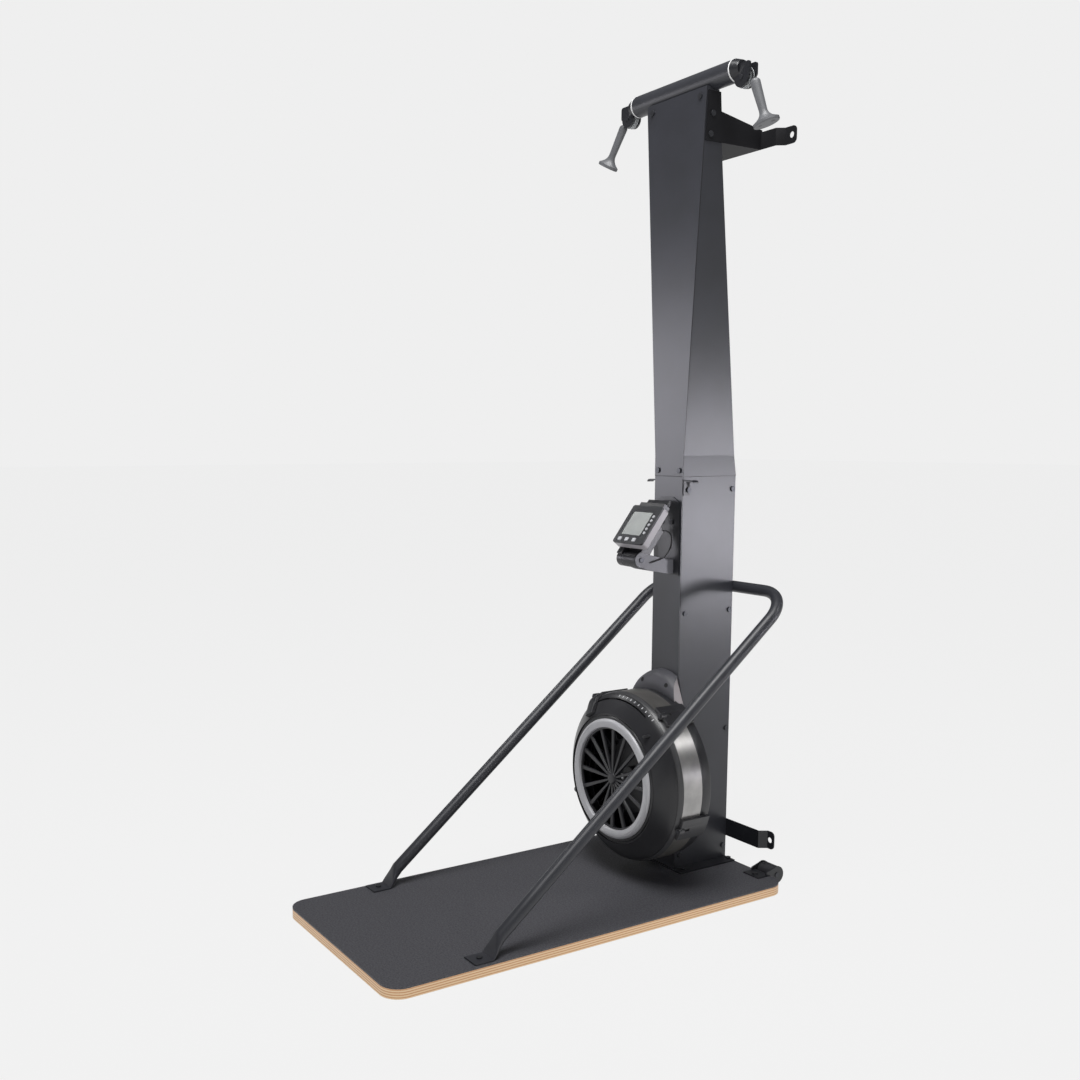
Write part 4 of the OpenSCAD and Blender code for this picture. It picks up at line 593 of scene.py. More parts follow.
def dress(node: str, finish: Finish, body: str = "frame", edge_mm: float = 0.5, angle: float = 50,
          plane: tuple[Point, Point] | None = None) -> Obj:
    """Copy a CAD node with clean faces and rounded edges, and let it stand for the node.

    Args:
        node: The CAD node.
        finish: The piece's finish.
        body: The node's body.
        edge_mm: Width of the rounding.
        angle: Least edge angle that is rounded, in degrees.
        plane: Point and normal, in metres, of a plane that splits faces for a second finish.

    Returns:
        The piece.
    """
    bm = bmesh.new()
    bm.from_mesh(FRAME["nodes"][node].data)
    bmesh.ops.remove_doubles(bm, verts=bm.verts, dist=2e-6)
    bmesh.ops.dissolve_limit(bm, angle_limit=radians(1.0), verts=bm.verts, edges=bm.edges)
    if plane:
        bmesh.ops.bisect_plane(bm, geom=bm.verts[:] + bm.edges[:] + bm.faces[:], dist=1e-6,
                               plane_co=plane[0], plane_no=plane[1])
    obj = solid(bm, node + DRESSED, 1.0)
    if edge_mm:
        rounded(obj, edge_mm, angle)
    else:
        smooth(obj, angle)
    return finish_piece(obj, finish, body)


# Geometry Nodes trees


def open_tree(name: str, inputs: dict[str, tuple[str, object]]) -> tuple[Tree, Node]:
    """Start a repeat tree with the inputs Geometry and Finish and some of its own.

    Args:
        name: The tree's name.
        inputs: Each further input's name with its kind and default value.

    Returns:
        The tree and its input node.
    """
    tree = bpy.data.node_groups.new(name, "GeometryNodeTree")
    for way in ("OUTPUT", "INPUT"):
        tree.interface.new_socket("Geometry", in_out=way, socket_type="NodeSocketGeometry")
    for label, (kind, value) in inputs.items():
        tree.interface.new_socket(label, in_out="INPUT", socket_type=f"NodeSocket{kind}").default_value = value
    tree.interface.new_socket("Finish", in_out="INPUT", socket_type="NodeSocketMaterial")
    return tree, add(tree, "NodeGroupInput")


def close_tree(tree: Tree, gave: Node, copies: Socket) -> Tree:
    """End a repeat tree: make its copies real and give them the finish.

    Args:
        tree: The tree.
        gave: Its input node.
        copies: The instances.

    Returns:
        The tree.
    """
    real = add(tree, "GeometryNodeRealizeInstances", i0=copies)
    dressed = add(tree, "GeometryNodeSetMaterial", i0=real.outputs[0])
    tree.links.new(gave.outputs["Finish"], dressed.inputs["Material"])
    add(tree, "NodeGroupOutput", i0=dressed.outputs[0])
    return tree


def ring_tree() -> Tree:
    """Build the tree that repeats its geometry about a Y axis.

    Returns:
        A tree with inputs Count, Start, Step, Centre and Finish.
    """
    tree, gave = open_tree("repeat_round_axis", {"Count": ("Int", 16), "Start": ("Float", 0.0),
                                                 "Step": ("Float", 0.4), "Centre": ("Vector", HUB)})
    back = add(tree, "ShaderNodeVectorMath", {"operation": "SCALE", "Scale": -1.0}, i0=gave.outputs["Centre"])
    home = add(tree, "GeometryNodeTransform", i0=gave.outputs["Geometry"])
    tree.links.new(back.outputs[0], home.inputs["Translation"])
    points = add(tree, "GeometryNodePoints", i0=gave.outputs["Count"])
    index = add(tree, "GeometryNodeInputIndex")
    turn = add(tree, "ShaderNodeMath", {"operation": "MULTIPLY_ADD"}, i0=index.outputs[0],
               i1=gave.outputs["Step"], i2=gave.outputs["Start"])
    spin = add(tree, "ShaderNodeCombineXYZ", i1=turn.outputs[0])
    copies = add(tree, "GeometryNodeInstanceOnPoints", i0=points.outputs[0], i2=home.outputs[0])
    tree.links.new(spin.outputs[0], copies.inputs["Rotation"])
    there = add(tree, "GeometryNodeTransform", i0=copies.outputs[0])
    tree.links.new(gave.outputs["Centre"], there.inputs["Translation"])
    return close_tree(tree, gave, there.outputs[0])


def row_tree() -> Tree:
    """Build the tree that repeats its geometry along a step.

    Returns:
        A tree with inputs Count, Step and Finish.
    """
    tree, gave = open_tree("repeat_along_step", {"Count": ("Int", 8), "Step": ("Vector", (0.004, 0.0, 0.0))})
    index = add(tree, "GeometryNodeInputIndex")
    along = add(tree, "ShaderNodeVectorMath", {"operation": "SCALE"}, i0=gave.outputs["Step"])
    tree.links.new(index.outputs[0], along.inputs["Scale"])
    points = add(tree, "GeometryNodePoints", i0=gave.outputs["Count"], i1=along.outputs[0])
    copies = add(tree, "GeometryNodeInstanceOnPoints", i0=points.outputs[0], i2=gave.outputs["Geometry"])
    return close_tree(tree, gave, copies.outputs[0])


def repeat(bm: BMesh, name: str, tree: Tree, finish: Finish, **values: object) -> Obj:
    """Run a repeat tree on a small solid and keep the result as a plain mesh.

    Args:
        bm: One copy, freed here.
        name: The object's name.
        tree: One of the repeat trees.
        finish: Finish for the tree's material input.
        **values: The tree's inputs by name.

    Returns:
        The object.
    """
    obj = solid(bm, name)
    run = obj.modifiers.new("repeat", "NODES")
    run.node_group = tree
    values["Finish"] = material(finish)
    for item in tree.interface.items_tree:
        if item.in_out == "INPUT" and item.name in values:
            run[item.identifier] = values[item.name]
    return settle(obj)


# Sub-assemblies: sizes are millimetres and degrees, _r a radius, _a an angle, _w a width, _x, _y and _z places


@dataclass
class Fan:
    """Fan casing, its silver ring, ribs, band, dial, damper lever and flywheel."""

    outer_r: float = 236.0
    crest_r: float = 215.0
    crest_y: float = 229.0
    shoulder_r: float = 180.0
    shoulder_y: float = 203.5
    band_y: tuple[float, float] = (260.0, 324.0)
    band_r: tuple[float, float] = (234.5, 236.0)
    strip_r: tuple[float, float] = (233.3, 235.5)
    rear_y: float = 358.0
    rear_r: float = 233.0
    wall: float = 3.0
    axle_hole_r: float = 30.0
    ring_r: tuple[float, float] = (142.3, 166.0)
    ring_y: tuple[float, float] = (196.6, 206.0)
    groove: Profile = ((0.52, 0.0), (0.51, -1.3), (0.46, -1.3), (0.45, 0.0))
    slot_gap: tuple[float, float] = (1.0, 5.0)
    slot_y: float = 246.0
    slot_play: float = 1.5
    stand_x: float = 36.0
    stand_r: float = 9.0
    stand_len: float = 30.0
    peg_a: float = 47.0
    peg_r: float = 202.0
    guard_r: tuple[float, float] = (137.3, 166.0)
    spokes: int = 16
    spoke_w: float = 12.0
    spoke_taper: Profile = ((14.0, 0.45), (60.0, 0.72), (100.0, 0.88), (141.5, 1.0))
    band_a: tuple[float, float] = (-17.0, 46.0)
    dial_a: tuple[float, float] = (93.4, 55.3)
    marks: int = 10
    mark: Profile = ((0.25, 1.1), (0.29, 1.4), (0.33, 1.4), (0.37, 1.4), (0.41, 1.1))
    ridge: Profile = ((0.02, 11.1), (0.2, 11.6), (0.38, 11.6), (0.56, 11.1))
    damper_a: float = 122.0
    swing: float = 60.0

    @property
    def slope(self) -> float:
        """Angle of the front cone, in radians."""
        return atan((self.crest_y - self.shoulder_y) / (self.crest_r - self.shoulder_r))

    def cone(self, r: float, off: float) -> tuple[float, float]:
        """Give a cone point at a radius, moved outwards."""
        s = self.slope
        return r + off * sin(s), self.shoulder_y + (r - self.shoulder_r) * tan(s) - off * cos(s)

    def rim(self, t: float, off: float) -> tuple[float, float]:
        """Give a point of the rounded rim.

        Args:
            t: 0 at the crest, 1 at the band.
            off: Distance outwards.

        Returns:
            Radius and Y.
        """
        p0 = self.cone(self.crest_r, off)
        p1 = (self.outer_r + off, p0[1] + (self.outer_r + off - p0[0]) * tan(self.slope))
        p2 = (self.outer_r + off, self.band_y[0])
        a, b, c = (1 - t) ** 2, 2 * t * (1 - t), t * t
        return a * p0[0] + b * p1[0] + c * p2[0], a * p0[1] + b * p1[1] + c * p2[1]

    def front_shell(self) -> None:
        """Make the front shell with its groove, the damper's slot and its side wall, painted paler as light."""
        y = self.shoulder_y
        r = self.shoulder_r
        lip = self.ring_r[1] + 0.3
        back = self.ring_y[1] + 6.6
        inner = r + (back - y) / tan(self.slope) - self.wall / sin(self.slope)
        profile = [self.rim(1 - i / 12, 0) for i in range(6)] + [self.rim(t, off) for t, off in self.groove]
        profile += [self.rim(0.42 - 0.42 * i / 6, 0) for i in range(7)]
        profile += [self.cone(r + 1.5, 0), (r, y + 0.3), (r - 1, y + 4), (r - 5, y + 4), (r - 7, y + 1),
                    (r - 7.6, y + 0.5), (lip, y + 0.5), (lip, back), (inner, back)]
        profile += [self.rim(i / 8, -self.wall) for i in range(9)]
        front = solid(revolve(profile), "fan_front_shell_dressed")
        near, far = (self.crest_r + gap for gap in self.slot_gap)
        slot = [(near, y), (far, y), (far, self.slot_y), (near, self.slot_y)]
        high = self.damper_a + self.slot_play
        cutter = solid(revolve(slot, FINE, high - self.swing - 2 * self.slot_play, high), "cut")
        cut = front.modifiers.new("slot", "BOOLEAN")
        cut.object = cutter
        cut.operation = "DIFFERENCE"
        settle(front)
        bpy.data.objects.remove(cutter)
        finish_piece(front, SHELL, "frame", 28)
        rim_r, rim_y = self.rim(0.5, 0)
        # Painted light: the side wall takes the paler copy of the shell plastic
        two_tone_and_painted_light(front, SHELL_PAINTED_LIGHT, lambda mid, _: mid.y > rim_y and hypot(mid.x, mid.z - FAN_Z) > rim_r - 1)

    def stop_peg(self) -> None:
        """Turn the small peg that ends the dial."""
        y = self.shoulder_y
        peg = [(0, y - 3), (2.6, y - 3), (3.8, y - 2.4), (4.5, y - 1), (4.5, y + 18), (0, y + 18)]
        bm = bmesh.new()
        verts = [bm.verts.new((r, 0, v)) for r, v in peg]
        for first, second in zip(verts, verts[1:]):
            bm.edges.new((first, second))
        bmesh.ops.spin(bm, geom=bm.verts[:] + bm.edges[:], cent=(0, 0, 0), axis=(0, 0, 1), angle=TURN, steps=32,
                       use_duplicate=False)
        bmesh.ops.remove_doubles(bm, verts=bm.verts, dist=1e-4)
        bmesh.ops.rotate(bm, matrix=Matrix.Rotation(-pi / 2, 3, "X"), verts=bm.verts)
        r, a = self.peg_r, radians(self.peg_a)
        bmesh.ops.translate(bm, vec=(r * cos(a), 0, FAN_Z + r * sin(a)), verts=bm.verts)
        finish_piece(solid(bm, "dial_stop_peg"), SHELL, "frame", 40)

    def rear_shell(self) -> None:
        """Make the rear shell on its four standoffs, and the dull part of the strip between the shells."""
        edge, end, wall, r = self.band_y[1], self.rear_y, self.wall, self.rear_r
        rear = [(self.outer_r - wall, edge), (self.outer_r - 0.6, edge), (self.outer_r, edge + 0.6),
                (self.outer_r, edge + 2), (r, edge + 5), (r, end - 3), (r - 1, end - 1), (r - 3, end),
                (self.axle_hole_r, end), (self.axle_hole_r, end - wall), (r - wall, end - wall),
                (r - wall, edge + 5), (self.outer_r - wall, edge + 2)]
        stands = bmesh.new()
        for x, z in ((1, 1), (1, -1), (-1, 1), (-1, -1)):
            spot = Matrix.Translation((self.stand_x * x, end + self.stand_len / 2 - 0.1, FAN_Z + self.stand_x * z))
            bmesh.ops.create_cone(stands, cap_ends=True, segments=32, radius1=self.stand_r, radius2=self.stand_r,
                                  depth=self.stand_len, matrix=spot @ Matrix.Rotation(pi / 2, 4, "X"))
        shell = join([solid(revolve(rear), "shell"), solid(stands, "stands")], "fan_rear_shell_dressed")
        finish_piece(shell, SHELL, "frame", 32)
        low, high = self.band_a
        (r0, r1), y0, y1 = self.strip_r, self.band_y[0] + 0.3, edge + 0.5
        strip = [(r0, y0), (r1, y0), (r1, y1), (r0, y1)]
        for tag, a0, a1 in (("top", high + 0.4, 179.6 - high), ("bottom", 180.4 - low, 359.6 + low)):
            finish_piece(solid(revolve(strip, FINE, a0, a1), f"fan_wall_{tag}"), BAND_DULL, "frame", 35)

    def silver(self) -> None:
        """Make the silver trim ring with its fine groove, and the two halves of the bright band."""
        r0, r1 = self.ring_r
        y0, y1 = self.ring_y
        profile = [(r0, y0 + 2.6), (r0 + 0.7, y0 + 1.4), (r0 + 2.4, y0 + 0.5), (r1 - 11, y0 + 0.1),
                   (r1 - 10.4, y0 + 0.7), (r1 - 9.8, y0 + 0.1), (r1 - 7, y0), (r1 - 4.2, y0 + 0.5),
                   (r1 - 2, y0 + 1.8), (r1 - 0.6, y0 + 3.6), (r1, y0 + 5.4), (r1, y1), (r0, y1)]
        finish_piece(solid(revolve(profile, 320), "fan_trim_ring_dressed"), SILVER, "frame", 40)
        low, high = self.band_a
        r0, r1 = self.band_r
        y0, y1 = self.band_y
        strip = [(r0, y0 + 0.3), (r1 - 0.4, y0 + 0.3), (r1, y0 + 0.7), (r1, y1 - 0.7), (r1 - 0.4, y1 - 0.3),
                 (r0, y1 - 0.3)]
        halves = [solid(revolve(strip, FINE, a0, a1), "half") for a0, a1 in ((low, high), (180 - high, 180 - low))]
        finish_piece(join(halves, "fan_band_dressed"), BAND, "frame", 40)

    def grill(self, tree: Tree) -> None:
        """Make the ribbed guard: a hub, an outer ring and ribs set round by the repeat tree."""
        y0 = self.ring_y[1] + 0.3
        y1 = y0 + 6
        hw = self.spoke_w / 2
        section = [(-hw, y1), (-hw, y0 + 1.6), (-hw + 1.4, y0 + 0.2), (0, y0), (hw - 1.4, y0 + 0.2), (hw, y0 + 1.6),
                   (hw, y1)]
        rib = loft([[(r, y, FAN_Z + w * k) for w, y in section] for r, k in self.spoke_taper])
        ribs = repeat(rib, "ribs", tree, RIBS, Count=self.spokes, Start=0.0, Step=TURN / self.spokes, Centre=HUB)
        hub = [(0.01, y0 - 4), (10.5, y0 - 4), (13.5, y0 - 3.4), (15.6, y0 - 2), (16.5, y0), (16.5, y1), (0.01, y1)]
        near, far = self.guard_r
        outer = [(near, y0 + 0.6), (near + 0.9, y0), (far, y0), (far, y1), (near, y1)]
        guard = join([ribs, solid(revolve(hub, 96), "hub"), solid(revolve(outer, 256), "outer")], "fan_grill_dressed")
        finish_piece(guard, RIBS, "frame", 40)

    def rim_bar(self, stations: Sequence[tuple[float, float, float]], foot: float) -> BMesh:
        """Lay a thin bar along the rim at the angle 0.

        Args:
            stations: Place on the rim, height above it and half width, for each cross section.
            foot: Height of the bar's underside above the rim.

        Returns:
            The bar.
        """
        rings = []
        for t, top, hw in stations:
            (r, y), (ri, yi) = self.rim(t, top), self.rim(t, foot)
            rings.append([(r, y, FAN_Z - hw), (r, y, FAN_Z + hw), (ri, yi, FAN_Z + hw), (ri, yi, FAN_Z - hw)])
        return loft(rings)

    def dial(self, tree: Tree) -> None:
        """Print the marks on the rim beside the damper lever's path."""
        a0, a1 = self.dial_a
        mark = self.rim_bar([(t, 0.25, hw) for t, hw in self.mark], -0.1)
        marks = repeat(mark, "dial_marks", tree, INK, Count=self.marks, Start=-radians(a0),
                       Step=-radians(a1 - a0) / (self.marks - 1), Centre=HUB)
        finish_piece(marks, INK, "frame", 50)

    def lever(self, tree: Tree) -> None:
        """Make the damper lever's ribbed knob on its ring."""
        dress("damper_lever", SHELL, "damper", 0.8)
        ridge = self.rim_bar([(t, top, 1.2) for t, top in self.ridge], 10.0)
        step = radians(2.0)
        ridges = repeat(ridge, "damper_knob_ridges", tree, RIBS, Count=5, Start=-radians(self.damper_a) - 2 * step,
                        Step=step, Centre=HUB)
        finish_piece(ridges, SHELL, "damper", 40)

    def build(self, tree: Tree) -> None:
        """Make every part of the fan."""
        self.front_shell()
        self.stop_peg()
        self.rear_shell()
        self.silver()
        self.grill(tree)
        self.dial(tree)
        self.lever(tree)
        dress("flywheel", WHEEL, "flywheel", angle=35)
        # Painted light: the clamp blocks' sides take the paler copy of the plastic, their tops keep the darker shell
        # plastic
        blocks = dress("clamp_blocks", SHELL_PAINTED_LIGHT, "frame", 1.2, 40)
        two_tone_and_painted_light(blocks, SHELL, lambda _, normal: normal.z > 0.6)


@dataclass
class NeckCover:
    """Formed sheet between the fan's rear rim and the column, with its side wings.

    hole gives a screw's place across and along the sheet and its radius.
    """

    half_a: float = 22.4
    rim_r: float = 233.3
    rim_y: float = 347.0
    top: Point = (56.0, 386.9, 597.0)
    drop: float = 14.0
    sheet: float = 3.0
    bulge: float = 19.0
    flat: float = 0.42
    hole: tuple[float, float, float] = (0.62, 0.29, 6.2)
    wing_x: float = 58.0
    wing_y: tuple[float, float] = (388.2, 405.2)
    wing_z: float = 503.0

    def point(self, u: float, v: float, lift: float) -> Point:
        """Give a point of the sheet.

        Args:
            u: -1 to 1 across.
            v: 0 at the rim to 1 at the column.
            lift: Distance above the inner face.

        Returns:
            The point in millimetres.
        """
        a = radians(90 - u * self.half_a)
        r = self.rim_r + lift
        low = Vector((r * cos(a), self.rim_y, FAN_Z + r * sin(a)))
        high = Vector((u * (self.top[0] + lift - self.sheet), self.top[1],
                       self.top[2] - self.drop * u * u + lift - self.sheet))
        swell = self.bulge * sin(pi * v) ** 0.9 * (1 - self.flat * u * u)
        return tuple(low + (high - low) * v + Vector((0, -swell * 0.7, swell * 0.7)))

    def build(self) -> None:
        """Skin both faces of the sheet, add the wings and set the screws."""
        nu, nv = 36, 12
        bm = bmesh.new()
        outer, inner = ([[bm.verts.new(self.point(2 * i / nu - 1, j / nv, lift)) for i in range(nu + 1)]
                         for j in range(nv + 1)] for lift in (self.sheet, 0.0))
        for grid in (outer, inner):
            for j in range(nv):
                for i in range(nu):
                    bm.faces.new((grid[j][i], grid[j][i + 1], grid[j + 1][i + 1], grid[j + 1][i]))
        for j in range(nv):
            for i in (0, nu):
                bm.faces.new((outer[j][i], outer[j + 1][i], inner[j + 1][i], inner[j][i]))
        for i in range(nu):
            for j in (0, nv):
                bm.faces.new((outer[j][i], outer[j][i + 1], inner[j][i + 1], inner[j][i]))
        cover = join([solid(bm, "sheet")] + [self.wing(side.value) for side in Side], "neck_cover_dressed")
        # Painted light: the cover takes a lighter copy of the coat
        finish_piece(cover, COAT_DULL_PAINTED_LIGHT, "frame", 30)
        # Painted light: the side wings take a pale copy of the coat
        two_tone_and_painted_light(cover, COAT_PALE_PAINTED_LIGHT, lambda _, normal: abs(normal.x) > 0.7)
        # Painted shade: the screw holes are black dishes in the shadow-line finish
        screws = join([self.screw_hole(side.value) for side in Side], "neck_cover_screw_holes")
        finish_piece(screws, SHADE_BLACK, "frame", 40)

    def wing(self, s: int) -> Obj:
        """Make the flat sheet that closes one side of the cover.

        Args:
            s: Side as the sign of X.

        Returns:
            The wing.
        """
        edge = [self.point(1, j / 12, 0) for j in range(13)]
        pts = [(x - 1.5, y - 1.2, z + 1.5) for x, y, z in edge]
        pts += [(self.wing_x, y, z) for y, z in zip(self.wing_y, (edge[-1][2], self.wing_z))]
        bm = bmesh.new()
        a, b = ([bm.verts.new((s * (x + thick), y, z)) for x, y, z in pts] for thick in (0, self.sheet))
        for face in (a, b):
            for first, second in zip(face, face[1:-1]):
                bm.faces.new((face[-1], first, second))
        for k in range(len(pts)):
            n = (k + 1) % len(pts)
            bm.faces.new((a[k], a[n], b[n], b[k]))
        return solid(bm, "wing")

    def screw_hole(self, s: int) -> Obj:
        """Make the countersunk screw in the cover's face on one side: a black dish, painted shade for its hole.

        Args:
            s: Side as the sign of X.

        Returns:
            The screw, set in the sheet.
        """
        u, v, r = self.hole
        mid, across, along = (Vector(self.point(s * u + du, v + dv, self.sheet + 0.5)) for du, dv in
                              ((0, 0), (0.02, 0), (0, 0.02)))
        up = (across - mid).cross(along - mid).normalized()
        cup = [(0.01, -0.2), (r - 1.8, -0.2), (r - 0.9, 0.1), (r - 0.3, 0.35), (r, 0.0), (r, -1.9), (0.01, -1.9)]
        bm = loft([[(q * cos(pi * k / 16), q * sin(pi * k / 16), h) for k in range(32)] for q, h in cup])
        place = Matrix.Translation(mid) @ up.to_track_quat("Z", "Y").to_matrix().to_4x4()
        bmesh.ops.transform(bm, matrix=place, verts=bm.verts)
        return solid(bm, "screw")


@dataclass
class Handles:
    """The two pull handles on their short cord leads.

    wide and deep are the oval's half sizes at the top, palm, waist and foot; cap and flare are the lengths
    of its rounded top and its widening foot, and turns says how each handle hangs: pitch, lean and turn.
    """

    x: float = 255.5
    y: float = 417.5
    top_z: float = 2113.5
    length: float = 120.0
    cap: float = 8.0
    flare: float = 38.0
    wide: tuple[float, ...] = (7.0, 13.0, 10.4, 33.0)
    deep: tuple[float, ...] = (6.0, 9.0, 7.7, 19.5)
    cord_x: float = 249.0
    lead_z: float = 2116.0
    lead: float = 8.2
    turns: tuple[tuple[Side, Point], ...] = ((Side.RIGHT, (4.0, 19.0, 35.0)), (Side.LEFT, (-9.0, 27.0, -19.0)))

    def half(self, s: float, start: float, grip: float, waist: float, foot: float) -> float:
        """Give the oval's half size at a distance from the top.

        Args:
            s: Distance from the top.
            start: Half size at the top.
            grip: Half size where the palm rests.
            waist: Half size above the foot.
            foot: Half size of the foot.

        Returns:
            The half size in millimetres.
        """
        if s < self.cap:
            return start + (grip - start) * sin(pi / 2 * s / self.cap) ** 0.8
        if s < self.length - self.flare:
            return grip + (waist - grip) * (s - self.cap) / (self.length - self.flare - self.cap)
        if s < self.length - 8:
            return waist + (foot - waist) * ((s - self.length + self.flare) / (self.flare - 8)) ** 2.6
        return foot - max(0.0, s - self.length + 2) * 0.6

    def build(self) -> None:
        """Loft both handles, with their ferrules, foot screws and leads."""
        low = self.length - self.flare
        stops = [0, 0.8, 2, 4, 6, self.cap] + [self.cap + (low - self.cap) * i / 8 for i in range(1, 9)]
        stops += [low + 2.5 * i for i in range(1, 13)] + [self.length - 4, self.length - 2, self.length]
        for side, (pitch, lean, turn) in self.turns:
            rings = []
            for s in stops:
                a, b = self.half(s, *self.wide), self.half(s, *self.deep)
                rings.append([(a * cos(TURN * j / 48), b * sin(TURN * j / 48), -s) for j in range(48)])
            bm = loft(rings)
            for x in (-16, 16):
                bmesh.ops.create_cone(bm, cap_ends=True, segments=24, radius1=4.2, radius2=4.2, depth=1.2,
                                      matrix=Matrix.Translation((x, 0, -self.length - 0.2)))
            turned = (Matrix.Rotation(radians(pitch), 4, "X") @ Matrix.Rotation(radians(-lean), 4, "Y")
                      @ Matrix.Rotation(radians(turn), 4, "Z"))
            bmesh.ops.transform(bm, matrix=Matrix.Translation((self.x, self.y, self.top_z)) @ turned, verts=bm.verts)
            bmesh.ops.create_cone(bm, cap_ends=True, segments=24, radius1=3.0, radius2=2.6, depth=10.5,
                                  matrix=Matrix.Translation((self.cord_x, self.y, self.top_z - 2.75)))
            bmesh.ops.scale(bm, vec=(side.value, 1, 1), verts=bm.verts)
            name = side.name.lower()
            finish_piece(solid(bm, f"{name}_handle_dressed"), GRIP, f"{name}_handle", 38)
            x = side.value * self.cord_x
            path = [(x, self.y, self.lead_z + self.lead * i / 6) for i in range(7)]
            lead = finish_piece(solid(tube(path, CORD_R), f"{name}_cord_lead_dressed"), CORD, "", 50)
            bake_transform(lead)


def two_tone_and_painted_light(obj: Obj, other: Finish, pick: Callable[[Vector, Vector], bool]) -> None:
    """Give some faces of a piece a second finish: a real second colour in some uses, painted light and shade in
    others.

    Args:
        obj: The piece.
        other: The second finish.
        pick: Says for a face's middle, in millimetres, and its normal whether it gets the second finish.
    """
    obj.data.materials.append(material(other))
    for face in obj.data.polygons:
        if pick(face.center / MM, face.normal):
            face.material_index = 1


@dataclass
class Crossbar:
    """Crossbar with white rings, end caps, pulleys and the drive cords.

    Each pulley is given as its X, its Z and the radius of the cord on it.
    """

    y: float = 417.5
    drum_run: float = 26.0
    drum_y: tuple[float, float] = (440.2, 482.2)
    top_pulley: Point = (30.0, 2129.5, 20.0)
    end_pulley: Point = (224.0, 2124.5, 25.0)

    def build(self) -> None:
        """Dress the bar and its fittings and run the cords over the pulleys."""
        dress("crossbar_tube", COAT_TUBE, edge_mm=0.6)
        dress("crossbar_rings", ACETAL)
        dress("pulley_forks", COAT_PAINTED_SHADE, edge_mm=1.0)
        for name in (f"{side.name.lower()}_{place}_pulley" for side in Side for place in ("end", "top")):
            dress(name, CLEAR, name, 0.3)
        runs = [solid(tube(self.route(s, y), CORD_R), "run") for s, y in zip((1, -1), self.drum_y)]
        finish_piece(join(runs, "drive_cords_dressed"), CORD, "frame", 50)

    def route(self, s: int, drum_y: float) -> list[Point]:
        """Give one drive cord's centreline from its drum to the end pulley.

        Args:
            s: Side as the sign of X.
            drum_y: Y of the cord on its drum.

        Returns:
            The points.
        """
        path = [(s * self.drum_run, drum_y, FAN_Z)]
        for (x, z, r), start, steps in ((self.top_pulley, 180, 12), (self.end_pulley, 90, 14)):
            for i in range(steps + 1):
                a = radians(start - 90 * i / steps)
                path.append((s * (x + r * cos(a)), self.y, z + r * sin(a)))
        return path


@dataclass
class Monitor:
    """Tilting monitor with its screen, buttons, barrel, arm, phone cradle and cable.

    cable_knots are Y and Z, and cable_fixed is not used.
    """

    face: Point = (0.0, 281.5, 1005.8)
    tilt: float = 37.5
    rim: float = 5.0
    barrel_r: float = 21.0
    barrel: Point = (-27.0, 50.2, -81.0)
    plate_y: float = 383.9
    cable_x: float = 32.6
    cable_knots: Profile = ((350, 988), (361, 985), (370, 977), (374, 965), (371, 942), (352, 918), (326, 908),
                            (300, 903))
    cable_fixed: int = 12

    @property
    def into(self) -> Vector:
        """Direction from the face into the case."""
        return self.place().to_3x3() @ Vector((0, 1, 0))

    def place(self) -> Matrix:
        """Give the matrix from the monitor's frame, x right, y in, z up the face, to the row frame."""
        return Matrix.Translation(self.face) @ Matrix.Rotation(radians(-self.tilt), 4, "X")

    def front_rim(self) -> tuple[Point, Point]:
        """Give a point and normal, in metres, of the plane where the case's dark front rim ends."""
        return tuple((Vector(self.face) + self.into * self.rim) * MM), tuple(self.into)

    def bezel(self) -> None:
        """Make the thin raised frame round the screen."""
        outer = corners(85.0, 80.0, 4.0)
        inner = corners(80.4, 75.4, 1.6)
        bm = loft([[(x - 5, y, z + 3) for x, z in ring]
                   for ring, y in ((outer, 0.3), (outer, -0.5), (inner, -0.5), (inner, 0.3))], closed=True)
        bmesh.ops.transform(bm, matrix=self.place(), verts=bm.verts)
        finish_piece(rounded(solid(bm, "screen_bezel"), 0.25), CASE, "monitor")

    def barrel_ribs(self, tree: Tree) -> None:
        """Set fine ribs round the tilt barrel with the row tree."""
        r = self.barrel_r
        profile = [(r - 0.5, 0.0), (r + 0.2, 0.0), (r + 0.35, 0.5), (r + 0.35, 1.5), (r + 0.2, 2.0), (r - 0.5, 2.0)]
        x0, y0, z0 = self.barrel
        bm = loft([[(x0 + x, y0 + q * cos(TURN * i / 64), z0 + q * sin(TURN * i / 64)) for q, x in profile]
                   for i in range(64)], closed=True)
        bmesh.ops.transform(bm, matrix=self.place(), verts=bm.verts)
        ribs = repeat(bm, "tilt_barrel_ribs", tree, SHELL, Count=14, Step=(0.004, 0.0, 0.0))
        finish_piece(ribs, SHELL, "monitor", 40)

    def cable(self) -> None:
        """Run the signal cable from the column into the monitor's barrel."""
        path = curve_through([Vector((self.cable_x, y, z)) for y, z in self.cable_knots], 5)
        wire = finish_piece(solid(tube(path, CORD_R), "monitor_cable_dressed"), JACKET, "", 50)
        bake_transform(wire)

    def build(self, tree: Tree) -> None:
        """Dress the monitor, its buttons, arm and cable."""
        case = dress("monitor_case", CASE, "monitor", 1.2, plane=self.front_rim())
        into, middle = self.into, Vector(self.face)
        two_tone_and_painted_light(case, FLANK, lambda mid, normal: (mid - middle).dot(into) > self.rim and abs(normal.dot(into)) < 0.4)
        dress("monitor_back", SHELL, "monitor", 0.8)
        dress("monitor_screen", GLASS, "monitor", 0.2, 35)
        arm = dress("monitor_bracket", COAT_GREY)
        # Painted shade: the plate behind the monitor takes the darker bracket coat
        two_tone_and_painted_light(arm, COAT_PAINTED_SHADE, lambda mid, _: mid.y > self.plate_y)
        dress("phone_cradle", SHELL, "phone_holder", 1.5)
        for name in [f"round_button_{i}" for i in range(1, 6)] + [f"square_button_{i}" for i in range(1, 4)]:
            dress(name, KEYS, name, 0.7)
        self.bezel()
        self.barrel_ribs(tree)
        self.cable()


